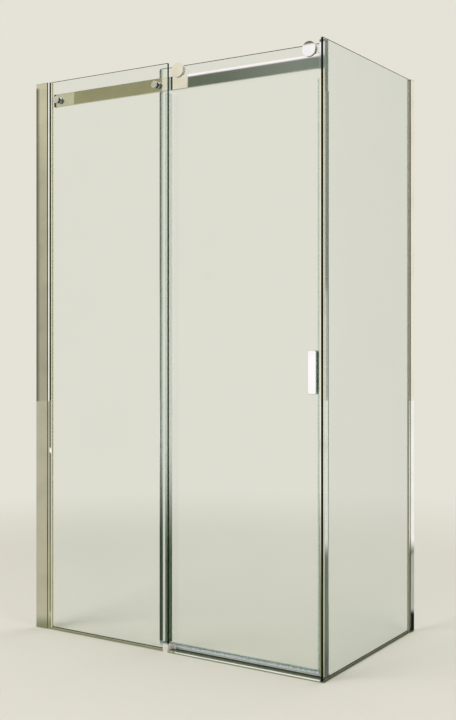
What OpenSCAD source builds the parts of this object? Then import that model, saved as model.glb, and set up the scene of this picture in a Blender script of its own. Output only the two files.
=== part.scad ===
// Corner shower enclosure: a fixed pane and a sliding door along the front, one fixed pane down the side.
// Sizes in millimetres. Seen from outside the front, +X is right, +Y goes in and +Z is up.
// Inside the modules everything is set out from the outer front corner: x runs left from it as a minus
// value, y runs back from it, and z is the height above the floor. The module set_out then moves the
// origin to the middle of the footprint at floor level.

/* [Overall size] */
// Length of the front, from the left wall to the outer corner
overall_w = 1195; // [1000:5:1440]
// Length of the side, from the front to the back wall
overall_d = 700; // [580:5:1000]
// Height of the fixed panes and their profiles
overall_h = 2000; // [1660:10:2400]

/* [Glass] */
// Thickness of all three panes
glass_t = 8; // [6:0.5:10]
// Width of the sliding pane
door_w = 620; // [500:5:700]
// How far the closed door lies behind the fixed pane
door_overlap = 51; // [40:1:90]
// How far the door's top edge lies below the fixed panes' top edge
door_top_drop = 8; // [4:1:16]
// Height of the door's bottom edge above the floor
door_floor_gap = 15; // [13:1:20]
// Distance from the closed door's edge to the outer corner
door_closed_gap = 33; // [30:0.5:40]

/* [Wall profiles] */
// Width of the left wall profile, seen from the front
left_profile_w = 53; // [50:1:70]
// How far the left glazing profile stands out of its wall profile
left_glazing_out = 17; // [8:1:22]
// Full width of the left glazing profile
left_glazing_w = 52; // [46:1:64]
// Depth of the slot that holds the fixed pane's edge
left_slot = 26; // [20:1:30]
// Width of the back wall profile, seen from the side
side_profile_w = 30; // [28:1:60]
// How far the side glazing profile stands out of its wall profile
side_glazing_out = 4; // [2:1:12]
// Full width of the side glazing profile
side_glazing_w = 30; // [28:1:34]
// Depth of the slot that holds the side pane's edge
side_slot = 14; // [12:1:16]
// Wall thickness of the wall profiles
profile_wall = 2; // [1.5:0.1:2.5]
// Wall thickness of the glazing profiles
glazing_wall = 2; // [1.5:0.1:2.5]
// Clearance between a glazing profile and its wall profile
slide_clear = 0.4; // [0.3:0.1:0.8]
// Thickness of a gasket's side and of its back
gasket_t = 1.6; // [1.2:0.1:2.5]
// How far a gasket's lips show past its profile
gasket_lip = 3; // [1:0.5:5]
// Thickness of the caps on the wall profiles
cap_t = 2; // [1.5:0.1:3]
// Hole in a wall profile for a wall screw
wall_hole_d = 5.5; // [4.5:0.1:6.5]
// Distance from either end of a wall profile to its first wall screw hole
wall_hole_end = 150; // [100:10:250]
// Distance between the two middle wall screw holes
wall_hole_mid = 580; // [400:10:800]
// Diameter of the screws that hold a glazing profile
adjust_screw_d = 3.8; // [3:0.1:5]

/* [Floor pieces] */
// Height of the bottom profiles
bottom_h = 9; // [8:0.5:12]
// Wall thickness of the bottom profiles
bottom_wall = 1.4; // [1.2:0.1:2]
// Thickness of a bottom profile's floor
bottom_base = 2; // [1.5:0.1:3]
// Thickness of the gasket under a fixed pane
bottom_pad = 3; // [2:0.5:4]
// Height of the door sill's front edge
sill_front_h = 4; // [3:0.5:5]
// Height of the door sill's top
sill_top_h = 7; // [6:0.5:8]
// Length of the sill's front slope
sill_slope = 10; // [6:1:14]
// Height of the rib at the back of the sill
sill_rib_h = 12; // [9:0.5:12]
// Thickness of the rib at the back of the sill
sill_rib_t = 6; // [3:0.5:8]
// Thickness of the sill under the door
sill_base = 3.5; // [2.5:0.5:5]

/* [Rail] */
// Height of the rail
rail_h = 46; // [42:1:50]
// Thickness of the rail
rail_t = 10; // [8:0.5:12]
// Distance from the panes' top edge down to the rail's top
rail_drop = 44; // [40:1:60]
// Gap between the fixed pane and the rail
rail_gap = 6.5; // [6:0.5:10]
// Gap between the rail and the door glass
door_gap = 5.5; // [5.5:0.5:9]
// Diameter of the caps and spacers that hold the rail
fixing_d = 25; // [20:1:28]
// Thickness of a cap on the face of the fixed pane
fixing_cap_t = 5; // [4:0.5:5]
// Diameter of the bolts that hold the rail
fixing_bolt_d = 8; // [6:0.5:10]
// How deep a rail bolt goes into its cap
fixing_bolt_in = 2.5; // [2:0.1:3]
// Thickness of the clear washers beside the glass
washer_t = 1; // [0.8:0.1:1.5]
// Distance from the rail's left end to the left fixing
fixing_left_in = 23; // [18:1:60]
// Distance from the fixed pane's free edge to the right fixing
fixing_right_in = 54; // [35:1:80]
// Diameter of the holes in the fixed pane
glass_hole_d = 14; // [13:0.5:16]

/* [Wheels] */
// Radius of a wheel's running surface
tread_r = 18; // [15:0.5:20]
// Diameter of the round face of a wheel
disc_d = 49; // [46:1:52]
// Thickness of the round face of a wheel
disc_t = 3.9; // [3:0.1:4]
// How far a wheel's back flange reaches below the rail's top
flange_reach = 4; // [3:0.5:5]
// Diameter of the axles
axle_d = 8; // [6:0.5:10]
// Outer diameter of the bearings
bearing_d = 18; // [16:0.5:22]
// Distance from the door's closing edge to the right wheel
wheel_right_in = 32; // [30:1:60]
// Distance from the door's other edge to the left wheel
wheel_left_in = 83; // [60:1:120]

/* [Handle] */
// Width of the handle plates
handle_w = 30; // [24:1:40]
// Height of the handle plates
handle_h = 138; // [120:1:200]
// Thickness of the outer handle plate
handle_t = 9; // [6:0.5:9]
// Thickness of the inner handle plate
handle_back_t = 6; // [5:0.5:9]
// Height of the handle's middle above the floor
handle_z = 959; // [850:1:1100]
// Distance from the door's closing edge to the handle's middle
handle_in = 26; // [24:1:50]
// Corner radius of the handle plates
handle_r = 5; // [3:0.5:8]
// Distance between the two handle studs
stud_spacing = 96; // [70:1:100]

/* [Corner] */
// Wall thickness of the corner profile
corner_wall = 2; // [1.5:0.1:3]
// Gap behind the magnets in the corner profile
corner_back_gap = 1; // [0.5:0.1:2]
// How far the corner profile reaches towards the door
corner_reach = 14; // [12:0.5:16]
// Thickness of the magnet strip in the corner profile
magnet_t = 8; // [5:0.5:8]

/* [Seals and guide] */
// Wall thickness of the clear seals
seal_t = 1.2; // [1:0.1:1.5]
// How far the clip on the door's left edge reaches over the glass
left_clip = 8; // [6:0.5:12]
// How far the clip on the door's closing edge reaches over the glass
closing_clip = 10; // [8:0.5:14]
// How far the bottom seal reaches up the door glass
bottom_clip = 10; // [8:0.5:14]
// Thickness of the bottom seal below the glass
bottom_seal_t = 2.5; // [2:0.1:3]
// Thickness of the bottom seal's drip fin
drip_t = 1.5; // [1:0.1:2]
// Width of the seal's leg on the fixed pane
overlap_leg = 14; // [10:0.5:20]
// Height of the guide shoe
guide_h = 26; // [22:1:32]
// Width of the guide shoe, seen from the front
guide_w = 20; // [16:1:26]
// How far the guide shoe stands past the fixed pane's edge
guide_past = 3; // [2:0.5:4]
// Height of the guide's cheeks
guide_cheek_h = 22; // [18:1:24]
// Length of the guide's cheeks
guide_cheek_w = 33; // [26:1:36]
// Thickness of the plastic pads on the guide's cheeks
pad_t = 1.5; // [1:0.1:2]
// Clearance between a pad and the door's bottom seal
seal_clear = 0.5; // [0.3:0.1:1]

/* [Hidden] */
$fn = 64;
// Clearance between pieces that stay together
fit = 0.3;
// Radial clearance of a shaft in its bore
running = 0.05;
// Small overlap that makes a cut clean
eps = 0.5;
// Places from the front to the back, with every profile's face on y = 0
slot_w = glass_t + 2 * gasket_t;
profile_depth = slot_w + 2 * glazing_wall + 2 * slide_clear + 2 * profile_wall;
glazing_depth = slot_w + 2 * glazing_wall;
glazing_y = profile_wall + slide_clear;
pane_y = glazing_y + glazing_wall + gasket_t;
pane_back = pane_y + glass_t;
rail_y = pane_back + rail_gap;
rail_back = rail_y + rail_t;
door_y = rail_back + door_gap;
door_back = door_y + glass_t;
// Places along the front, all minus values
door_right = -door_closed_gap;
door_left = door_right - door_w;
fixed_right = door_left + door_overlap;
left_end_u = left_profile_w + left_glazing_out;
left_glazing_end = left_end_u - overall_w;
rail_left_gap = 2;
rail_left = left_glazing_end + rail_left_gap;
corner_x = -pane_back;
bracket_t = 3;
rail_right = corner_x - corner_wall - bracket_t - fit;
side_end_u = side_profile_w + side_glazing_out;
// Distance from the front face to the side pane's front edge, which is the outer corner
side_front = 1;
// Heights
profile_h = overall_h - cap_t;
bottom_gasket_top = bottom_h + 1;
pane_z = bottom_base + bottom_pad;
rail_top = overall_h - rail_drop;
rail_z = rail_top - rail_h;
rail_mid = rail_z + rail_h / 2;
axle_z = rail_top + tread_r;
door_top = overall_h - door_top_drop;
hole_zs = [wall_hole_end, (overall_h - wall_hole_mid) / 2,
           (overall_h + wall_hole_mid) / 2, overall_h - wall_hole_end];
adjust_end = wall_hole_end + 60;
adjust_zs = [adjust_end, overall_h / 2, overall_h - adjust_end];
// Rail fixings and wheels along the front
fixing_xs = [rail_left + fixing_left_in, fixed_right - fixing_right_in];
left_wheel_x = door_left + wheel_left_in;
right_wheel_x = door_right - wheel_right_in;
wheel_xs = [left_wheel_x, right_wheel_x];
// Wheel, from the front face back
wheel_clear = 0.4;
disc_back = rail_y - wheel_clear;
flange_front = rail_back + wheel_clear;
flange_t = 2.2;
flange_r = tread_r + flange_reach;
bearing_w = rail_t - 2;
bearing_y = rail_y + 1.5;
clip_t = 0.8;
collar_y = bearing_y + bearing_w + fit;
collar_r = axle_d / 2 + 2.5;
sleeve_r = axle_d / 2 + 2.2;
clip_r = axle_d / 2 + 1.8;
nut_r = 9;
nut_t = 3.6;
nut_in = 3;
back_cap_r = 11;
back_cap_t = 7;
axle_in = 5;
// Guide at the foot of the fixed pane's free edge
guide_right = fixed_right + guide_past;
guide_left = guide_right - guide_w;
guide_front = side_front;
guide_wall = 3.7;
guide_back = pane_back + fit + guide_wall;
guide_cheek_right = guide_left + guide_cheek_w;
guide_base = 3;
guide_arm_h = guide_cheek_h - 4;
cheek_t = 2.5;
grub_r = 2;
grub_x = guide_left + 7;
grub_zs = [10, 20];
front_pad_y = door_y - seal_t - seal_clear - pad_t;
back_pad_y = door_back + seal_t + seal_clear;
front_cheek_y = front_pad_y - cheek_t;
back_cheek_y = back_pad_y + pad_t;
cheek_end = back_cheek_y + cheek_t;
// Door seals
bottom_seal_low = door_floor_gap - bottom_seal_t;
bottom_seal_top = door_floor_gap + bottom_clip;
drip_z = sill_base + 2;
side_seal_z = bottom_seal_top + 0.5;
left_seal_back = 3;
side_seal_drop = 2;
// Seal on the fixed pane's free edge
overlap_low = guide_h + 4;
overlap_high = rail_z - 10;
overlap_fin_in = 2;
overlap_clear = 0.6;
// Corner profile and the strips that meet in it
corner_y = rail_y - corner_wall - 0.5;
corner_w = door_back + corner_back_gap + corner_wall - corner_y;
corner_z = sill_rib_h + 0.5;
corner_tip = corner_x - corner_reach;
corner_web_x = corner_x - corner_wall;
bracket_over = 16;
bracket_zs = [rail_z - bracket_over, rail_top + bracket_over];
bracket_lip = 12;
bracket_lip_t = 3;
bracket_screw_d = 4;
bracket_screw_zs = [bracket_zs[0] + 6, bracket_zs[1] - 6];
strip_top = bracket_zs[0] - 12;
strip_face = corner_web_x - magnet_t;
nose_x = corner_tip - 1;
// Sill: where its flat top ends in front of the door, and its rib behind
sill_flat_end = door_y - 6;
sill_step = 2;
rib_y = door_back + 8;
rib_end = rib_y + sill_rib_t;
// Rail stop behind the rail's left end
stop_x = rail_left + 15;
stop_w = 10;
stop_t = 3;
stop_z = rail_top - 13;
stop_top = rail_top - 0.5;
stop_mid = (stop_z + stop_top) / 2;
stop_screw_x = stop_x + stop_w / 2;
stop_screw_d = 3;
stop_screw_in = 5;
buffer_t = 1.6;
// Pan heads of the small screws
pan_d = 7;
pan_t = 2;
// Handle
handle_x = door_right - handle_in;
handle_bevel = 1.6;
handle_pad_in = 2;
stud_r = 3;
stud_hole_r = 5;
stud_in = 5.7;
stud_back_in = 3.7;

// Moves the outer front corner so that the footprint's middle is at the origin
module set_out() {
    translate([overall_w / 2, -overall_d / 2, 0]) children();
}

// Frame of the left wall profile: u runs out from the wall it stands on, v runs in from the front
module at_left_wall() {
    set_out() translate([-overall_w, 0, 0]) children();
}

// Frame of the back wall profile: u runs out from its wall, v runs in from the outer side
module at_back_wall() {
    set_out() translate([0, overall_d, 0]) mirror([1, 1, 0]) children();
}

// Block given by its two opposite corners
module block(low, high) {
    translate(low) cube([high[0] - low[0], high[1] - low[1], high[2] - low[2]]);
}

// Cylinder along +Y that starts at y
module rod_y(x, y, z, r, len) {
    translate([x, y, z]) rotate([-90, 0, 0]) cylinder(r = r, h = len);
}

// Ring along +Y that starts at y
module ring_y(x, y, z, r_out, r_in, len) {
    difference() {
        rod_y(x, y, z, r_out, len);
        rod_y(x, y - eps, z, r_in, len + 2 * eps);
    }
}

// Channel on a wall, open towards the glass, with its wall screw and adjusting screw holes
module wall_profile(w, adjust_u) {
    difference() {
        linear_extrude(profile_h) difference() {
            square([w, profile_depth]);
            translate([profile_wall, profile_wall]) square([w, profile_depth - 2 * profile_wall]);
        }
        for (z = hole_zs)
            translate([-eps, profile_depth / 2, z])
                rotate([0, 90, 0]) cylinder(d = wall_hole_d, h = profile_wall + 2 * eps);
        for (z = adjust_zs)
            rod_y(adjust_u, profile_depth / 2, z, adjust_screw_d / 2 + fit, profile_depth);
    }
}

// Channel that slides in a wall profile and holds a pane's edge: its web splits it into two slots
module glazing_profile(w, slot, start_u, adjust_u) {
    web_u = start_u + w - slot - glazing_wall;
    difference() {
        linear_extrude(profile_h) translate([0, glazing_y]) union() {
            translate([start_u, 0]) square([w, glazing_wall]);
            translate([start_u, glazing_depth - glazing_wall]) square([w, glazing_wall]);
            translate([web_u, 0]) square([glazing_wall, glazing_depth]);
        }
        for (z = adjust_zs)
            rod_y(adjust_u, profile_depth / 2, z, adjust_screw_d / 2 + fit, profile_depth);
    }
}

// Gasket round a pane's edge in its slot, with two lips that show
module glass_gasket(slot, end_u) {
    translate([0, 0, bottom_base]) linear_extrude(profile_h - bottom_base)
        translate([end_u - slot, pane_y - gasket_t]) difference() {
            square([slot + gasket_lip, slot_w]);
            translate([gasket_t, gasket_t]) square([slot + gasket_lip, glass_t]);
        }
}

// Cap on a wall profile, cut out round the glazing profile's slot
module profile_cap(w, slot, end_u) {
    translate([0, 0, profile_h]) linear_extrude(cap_t) difference() {
        square([w, profile_depth]);
        translate([end_u - slot, pane_y - gasket_t]) square([slot + w, slot_w]);
    }
}

// Channel on the floor under a pane, given in the pane's own section
module bottom_profile_section() {
    y0 = pane_y - gasket_t - bottom_wall;
    difference() {
        translate([y0, 0]) square([slot_w + 2 * bottom_wall, bottom_h]);
        translate([y0 + bottom_wall, bottom_base]) square([slot_w, bottom_h]);
    }
}

// Gasket in a bottom profile
module bottom_gasket_section() {
    difference() {
        translate([pane_y - gasket_t, bottom_base]) square([slot_w, bottom_gasket_top - bottom_base]);
        translate([pane_y, pane_z]) square([glass_t, bottom_gasket_top]);
    }
}

// Runs a section given in depth and height along the front, from x0 to x1
module along_front(x0, x1) {
    translate([x0, 0, 0]) rotate([90, 0, 90]) linear_extrude(x1 - x0) children();
}

// Screw with a pan head: the head lies on y = 0 and the shank runs to -Y
module pan_screw(d, head_d, head_t, len) {
    rotate([-90, 0, 0]) cylinder(d = head_d, h = head_t);
    translate([0, -len, 0]) rotate([-90, 0, 0]) cylinder(d = d, h = len + eps);
}

// Where a glazing profile starts and where its screws sit, counted from the wall
function glazing_start(w, out, g) = w + out - g;
function adjust_place(w, out, g, slot) = glazing_start(w, out, g) + (g - slot - glazing_wall) / 2;
left_adjust_u = adjust_place(left_profile_w, left_glazing_out, left_glazing_w, left_slot);
side_adjust_u = adjust_place(side_profile_w, side_glazing_out, side_glazing_w, side_slot);

module left_wall_profile() {
    color("silver") at_left_wall() wall_profile(left_profile_w, left_adjust_u);
}

module left_glazing_profile() {
    color("gainsboro") at_left_wall()
        glazing_profile(left_glazing_w, left_slot,
                        glazing_start(left_profile_w, left_glazing_out, left_glazing_w),
                        left_adjust_u);
}

module left_profile_cap() {
    color("silver") at_left_wall() profile_cap(left_profile_w, left_slot, left_end_u);
}

module left_glass_gasket() {
    color("lightyellow") at_left_wall() glass_gasket(left_slot, left_end_u);
}

module fixed_glass() {
    color("lightgreen", 0.35) set_out() difference() {
        block([-overall_w + left_end_u - left_slot + gasket_t, pane_y, pane_z],
              [fixed_right, pane_back, overall_h]);
        for (x = fixing_xs) rod_y(x, pane_y - eps, rail_mid, glass_hole_d / 2, glass_t + 2 * eps);
    }
}

module fixed_bottom_profile() {
    color("silver") set_out() along_front(left_glazing_end, guide_left) bottom_profile_section();
}

module fixed_bottom_gasket() {
    color("dimgray") set_out() along_front(left_glazing_end + gasket_lip, guide_left)
        bottom_gasket_section();
}

// Angle on the back of the fixed pane's free edge, with a fin that reaches to the door
module fixed_overlap_seal() {
    fin_x = fixed_right - overlap_fin_in;
    color("white", 0.6) set_out() union() {
        block([fixed_right - overlap_leg, pane_back, overlap_low],
              [fixed_right, pane_back + seal_t, overlap_high]);
        block([fin_x - seal_t, pane_back, overlap_low],
              [fin_x, door_y - overlap_clear, overlap_high]);
    }
}

module side_wall_profile() {
    color("silver") at_back_wall() wall_profile(side_profile_w, side_adjust_u);
}

module side_glazing_profile() {
    color("gainsboro") at_back_wall()
        glazing_profile(side_glazing_w, side_slot,
                        glazing_start(side_profile_w, side_glazing_out, side_glazing_w),
                        side_adjust_u);
}

module side_profile_cap() {
    color("silver") at_back_wall() profile_cap(side_profile_w, side_slot, side_end_u);
}

module side_glass_gasket() {
    color("lightyellow") at_back_wall() glass_gasket(side_slot, side_end_u);
}

module side_glass() {
    color("lightgreen", 0.35) set_out()
        block([-pane_back, side_front, pane_z],
              [-pane_y, overall_d - side_end_u + side_slot - gasket_t, overall_h]);
}

module side_bottom_profile() {
    color("silver") at_back_wall()
        along_front(side_end_u, overall_d - side_front) bottom_profile_section();
}

module side_bottom_gasket() {
    color("dimgray") at_back_wall()
        along_front(side_end_u + gasket_lip, overall_d - side_front) bottom_gasket_section();
}

// Screws from inside the enclosure that fix each glazing profile in its wall profile
module adjusting_screws() {
    past_wall = 1;
    len = profile_wall + slide_clear + glazing_wall + past_wall;
    color("silver") {
        at_left_wall() for (z = adjust_zs)
            translate([left_adjust_u, profile_depth, z]) pan_screw(adjust_screw_d, pan_d, pan_t, len);
        at_back_wall() for (z = adjust_zs)
            translate([side_adjust_u, profile_depth, z]) pan_screw(adjust_screw_d, pan_d, pan_t, len);
    }
}

module rail() {
    color("silver") set_out() difference() {
        block([rail_left, rail_y, rail_z], [rail_right, rail_back, rail_top]);
        for (x = fixing_xs)
            rod_y(x, rail_y - eps, rail_mid, fixing_bolt_d / 2 + fit, rail_t + 2 * eps);
        rod_y(stop_screw_x, rail_back - stop_screw_in - eps, stop_mid, stop_screw_d / 2 + running,
              stop_screw_in + 2 * eps);
    }
}

// Flat caps on the face of the fixed pane, each with a blind bore for its bolt
module rail_fixing_caps() {
    color("silver") set_out() for (x = fixing_xs) difference() {
        rod_y(x, pane_y - washer_t - fixing_cap_t, rail_mid, fixing_d / 2, fixing_cap_t);
        rod_y(x, pane_y - washer_t - fixing_bolt_in - eps, rail_mid, fixing_bolt_d / 2 + running,
              fixing_bolt_in + 2 * eps);
    }
}

module rail_fixing_washers() {
    r_out = fixing_d / 2 - 1;
    r_in = fixing_bolt_d / 2 + fit;
    color("white", 0.6) set_out() for (x = fixing_xs, y = [pane_y - washer_t, pane_back])
        ring_y(x, y, rail_mid, r_out, r_in, washer_t);
}

module rail_fixing_spacers() {
    color("silver") set_out() for (x = fixing_xs)
        ring_y(x, pane_back + washer_t, rail_mid, fixing_d / 2, fixing_bolt_d / 2 + fit,
               rail_gap - washer_t);
}

module rail_fixing_bolts() {
    front = pane_y - washer_t - fixing_bolt_in;
    color("silver") set_out() for (x = fixing_xs)
        rod_y(x, front, rail_mid, fixing_bolt_d / 2, rail_back + nut_in - fit - front);
}

module rail_fixing_nuts() {
    color("silver") set_out() for (x = fixing_xs) difference() {
        rod_y(x, rail_back, rail_mid, nut_r, nut_t);
        rod_y(x, rail_back - eps, rail_mid, fixing_bolt_d / 2 + running, nut_in + eps);
    }
}

// Plate on the corner profile with two lips that hold the rail's end
module rail_corner_bracket() {
    face = rail_right + fit;
    color("silver") set_out() difference() {
        union() {
            block([face, rail_y, bracket_zs[0]], [face + bracket_t, rail_back, bracket_zs[1]]);
            for (z = [rail_top + fit, rail_z - fit - bracket_lip_t])
                block([face - bracket_lip, rail_y, z], [face + eps, rail_back, z + bracket_lip_t]);
        }
        for (z = bracket_screw_zs)
            translate([face - eps, rail_y + rail_t / 2, z]) rotate([0, 90, 0])
                cylinder(d = bracket_screw_d + 2 * fit, h = bracket_t + 2 * eps);
    }
}

module bracket_screws() {
    face = rail_right + fit;
    color("silver") set_out() for (z = bracket_screw_zs)
        translate([face, rail_y + rail_t / 2, z]) rotate([0, 0, 90])
            pan_screw(bracket_screw_d, pan_d, pan_t, bracket_t + corner_wall - fit);
}

// Block behind the rail that the left wheel's flange meets when the door is fully open
module rail_stop() {
    color("silver") set_out() difference() {
        block([stop_x, rail_back, stop_z], [stop_x + stop_w, rail_back + stop_t, stop_top]);
        rod_y(stop_screw_x, rail_back - eps, stop_mid, stop_screw_d / 2 + fit, stop_t + 2 * eps);
    }
}

module rail_stop_buffer() {
    color("dimgray") set_out()
        block([stop_x + stop_w, rail_back, stop_z],
              [stop_x + stop_w + buffer_t, rail_back + stop_t, stop_top]);
}

module rail_stop_screw() {
    color("silver") set_out()
        translate([stop_screw_x, rail_back + stop_t, stop_mid])
            pan_screw(stop_screw_d, 2 * stop_screw_d, pan_t / 2, stop_t + stop_screw_in);
}

// Channel bonded to the inside of the side pane: the door's magnet strip closes into it
module corner_profile() {
    color("silver") set_out() difference() {
        translate([0, 0, corner_z]) linear_extrude(profile_h - corner_z) difference() {
            translate([corner_tip, corner_y]) square([corner_reach, corner_w]);
            translate([corner_tip - eps, corner_y + corner_wall])
                square([corner_reach - corner_wall + eps, corner_w - 2 * corner_wall]);
        }
        for (z = bracket_screw_zs)
            translate([corner_web_x - eps, rail_y + rail_t / 2, z]) rotate([0, 90, 0])
                cylinder(d = bracket_screw_d + 2 * running, h = corner_wall + 2 * eps);
    }
}

module corner_magnet_strip() {
    color("dimgray") set_out()
        block([strip_face, door_y, side_seal_z], [corner_web_x, door_back, strip_top]);
}

// Sill from the guide to the side pane: sloped front, flat top, a drip channel and a rib
module door_sill() {
    section = [[0, 0], [0, sill_front_h], [sill_slope, sill_top_h], [sill_flat_end, sill_top_h],
               [sill_flat_end + sill_step, sill_base], [rib_y, sill_base], [rib_y, sill_rib_h],
               [rib_end, sill_rib_h], [rib_end, 0]];
    color("silver") set_out() difference() {
        along_front(guide_right, -pane_back - gasket_t - bottom_wall) polygon(section);
        block([guide_right - eps, front_cheek_y - fit, -eps],
              [guide_cheek_right + fit, rib_end + eps, guide_h]);
    }
}

// Shoe that grips the fixed pane's foot and guides the door between two cheeks
module door_guide() {
    color("white") set_out() difference() {
        union() {
            block([guide_left, guide_front, 0], [guide_right, guide_back, guide_h]);
            block([guide_left, guide_back - eps, 0], [fixed_right, front_cheek_y + eps, guide_arm_h]);
            block([guide_left, front_cheek_y, 0], [guide_cheek_right, cheek_end, guide_base]);
            for (y = [front_cheek_y, back_cheek_y])
                block([guide_left, y, 0], [guide_cheek_right, y + cheek_t, guide_cheek_h]);
        }
        block([guide_left - eps, pane_y - fit, pane_z - fit],
              [fixed_right + fit, pane_back + fit, guide_h + eps]);
        for (z = grub_zs) rod_y(grub_x, pane_back, z, grub_r + fit, front_cheek_y - pane_back);
    }
}

module door_guide_pads() {
    color("white") set_out() for (y = [front_pad_y, back_pad_y])
        block([guide_left, y, guide_base], [guide_cheek_right, y + pad_t, guide_cheek_h]);
}

// Grub screws that press the guide shoe onto the glass
module door_guide_screws() {
    front = pane_back + fit;
    color("silver") set_out() for (z = grub_zs) rod_y(grub_x, front, z, grub_r, guide_back - front);
}

module door_glass() {
    color("lightgreen", 0.35) set_out() difference() {
        block([door_left, door_y, door_floor_gap], [door_right, door_back, door_top]);
        for (x = wheel_xs) rod_y(x, door_y - eps, axle_z, sleeve_r + fit, glass_t + 2 * eps);
        for (s = [-1, 1])
            rod_y(handle_x, door_y - eps, handle_z + s * stud_spacing / 2, stud_hole_r,
                  glass_t + 2 * eps);
    }
}

// Clip over the edge of the door away from the corner
module door_left_seal() {
    color("white", 0.6) set_out() difference() {
        block([door_left - left_seal_back, door_y - seal_t, side_seal_z],
              [door_left + left_clip, door_back + seal_t, door_top - side_seal_drop]);
        block([door_left, door_y, side_seal_z - eps],
              [door_left + left_clip + eps, door_back, door_top]);
    }
}

// Clip over the door's closing edge that carries its magnet strip
module door_closing_seal() {
    color("white", 0.6) set_out() difference() {
        block([door_right - closing_clip, door_y - seal_t, side_seal_z],
              [nose_x, door_back + seal_t, strip_top]);
        block([door_right - closing_clip - eps, door_y, side_seal_z - eps],
              [door_right, door_back, strip_top + eps]);
    }
}

module door_magnet_strip() {
    color("dimgray") set_out()
        block([nose_x, door_y, side_seal_z], [strip_face - fit, door_back, strip_top]);
}

// Clip over the door's bottom edge with a drip fin
module door_bottom_seal() {
    fin_y = (door_y + door_back - drip_t) / 2;
    color("white", 0.6) set_out() difference() {
        union() {
            block([door_left, door_y - seal_t, bottom_seal_low],
                  [door_right, door_back + seal_t, bottom_seal_top]);
            block([door_left, fin_y, drip_z], [door_right, fin_y + drip_t, bottom_seal_low + eps]);
        }
        block([door_left - eps, door_y, door_floor_gap],
              [door_right + eps, door_back, bottom_seal_top + eps]);
    }
}

// Axles through the door glass: each ends inside its wheel and inside its back cap
module wheel_axles() {
    front = bearing_y - clip_t;
    color("silver") set_out() for (x = wheel_xs)
        rod_y(x, front, axle_z, axle_d / 2, door_back + washer_t + axle_in - front);
}

module axle_clips() {
    color("silver") set_out() for (x = wheel_xs)
        ring_y(x, bearing_y - clip_t, axle_z, clip_r, axle_d / 2 + running, clip_t);
}

module axle_collars() {
    color("silver") set_out() for (x = wheel_xs)
        ring_y(x, collar_y, axle_z, collar_r, axle_d / 2 + fit, door_y - washer_t - collar_y);
}

module axle_washers() {
    color("white", 0.6) set_out() for (x = wheel_xs, y = [door_y - washer_t, door_back])
        ring_y(x, y, axle_z, back_cap_r - 1, axle_d / 2 + fit, washer_t);
}

module axle_sleeves() {
    color("white", 0.6) set_out() for (x = wheel_xs)
        ring_y(x, door_y, axle_z, sleeve_r, axle_d / 2 + fit, glass_t);
}

module axle_caps() {
    y0 = door_back + washer_t;
    color("silver") set_out() for (x = wheel_xs) difference() {
        rod_y(x, y0, axle_z, back_cap_r, back_cap_t);
        rod_y(x, y0 - eps, axle_z, axle_d / 2 + running, axle_in + 2 * eps);
    }
}

// Outline of a handle plate, with round corners
module handle_outline(inset) {
    w = handle_w - 2 * inset;
    h = handle_h - 2 * inset;
    r = handle_r - inset;
    square([w - 2 * r, h], center = true);
    square([w, h - 2 * r], center = true);
    for (sx = [-1, 1], sz = [-1, 1]) translate([sx * (w / 2 - r), sz * (h / 2 - r)]) circle(r = r);
}

// Handle plate with a bevelled face: it starts at y and its face points to -Y
module handle_plate(t) {
    sheet = 0.01;
    rotate([90, 0, 0]) {
        linear_extrude(t - handle_bevel) handle_outline(0);
        translate([0, 0, t - handle_bevel]) hull() {
            linear_extrude(sheet) handle_outline(0, $fn = 32);
            translate([0, 0, handle_bevel - sheet])
                linear_extrude(sheet) handle_outline(handle_bevel, $fn = 32);
        }
    }
}

// Blind bores for the studs, open at the plate's flat side on y = 0
module stud_bores(depth) {
    for (s = [-1, 1])
        translate([0, eps, s * stud_spacing / 2])
            rotate([90, 0, 0]) cylinder(r = stud_r + running, h = depth + eps);
}

module handle_front_plate() {
    color("silver") set_out() translate([handle_x, door_y - washer_t, handle_z]) difference() {
        handle_plate(handle_t);
        stud_bores(stud_in + fit);
    }
}

module handle_back_plate() {
    color("silver") set_out() translate([handle_x, door_back + washer_t, handle_z])
        mirror([0, 1, 0]) difference() {
            handle_plate(handle_back_t);
            stud_bores(stud_back_in + fit);
        }
}

module handle_studs() {
    front = door_y - washer_t - stud_in;
    back = door_back + washer_t + stud_back_in;
    color("silver") set_out() for (s = [-1, 1])
        rod_y(handle_x, front, handle_z + s * stud_spacing / 2, stud_r, back - front);
}

// Thin clear pads between the handle plates and the glass
module handle_pads() {
    color("white", 0.6) set_out() for (y = [door_y - washer_t, door_back]) difference() {
        translate([handle_x, y + washer_t, handle_z]) rotate([90, 0, 0])
            linear_extrude(washer_t) handle_outline(handle_pad_in);
        for (s = [-1, 1])
            rod_y(handle_x, y - eps, handle_z + s * stud_spacing / 2, stud_r + fit,
                  washer_t + 2 * eps);
    }
}

// Round face of a wheel, turned with a small bevel on its front edge
module wheel_disc(x) {
    r = disc_d / 2;
    bevel = 0.8;
    profile = [[0, 0], [r, 0], [r, disc_t - bevel], [r - bevel, disc_t], [0, disc_t]];
    color("gainsboro") set_out() translate([x, disc_back, axle_z]) rotate([90, 0, 0])
        rotate_extrude() polygon(profile);
}

// Tyre that runs on the rail's top, with a flange behind the rail
module wheel_tyre(x) {
    bore = bearing_d / 2 + running;
    tread = tread_r - fit;
    core = rail_y - disc_back + rail_t + wheel_clear;
    profile = [[bore, 0], [tread, 0], [tread, core], [flange_r, core], [flange_r, core + flange_t],
               [bore, core + flange_t]];
    color("whitesmoke") set_out() translate([x, disc_back, axle_z]) rotate([-90, 0, 0])
        rotate_extrude() polygon(profile);
}

module wheel_bearing(x) {
    color("silver") set_out()
        ring_y(x, bearing_y, axle_z, bearing_d / 2, axle_d / 2 + running, bearing_w);
}

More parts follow.
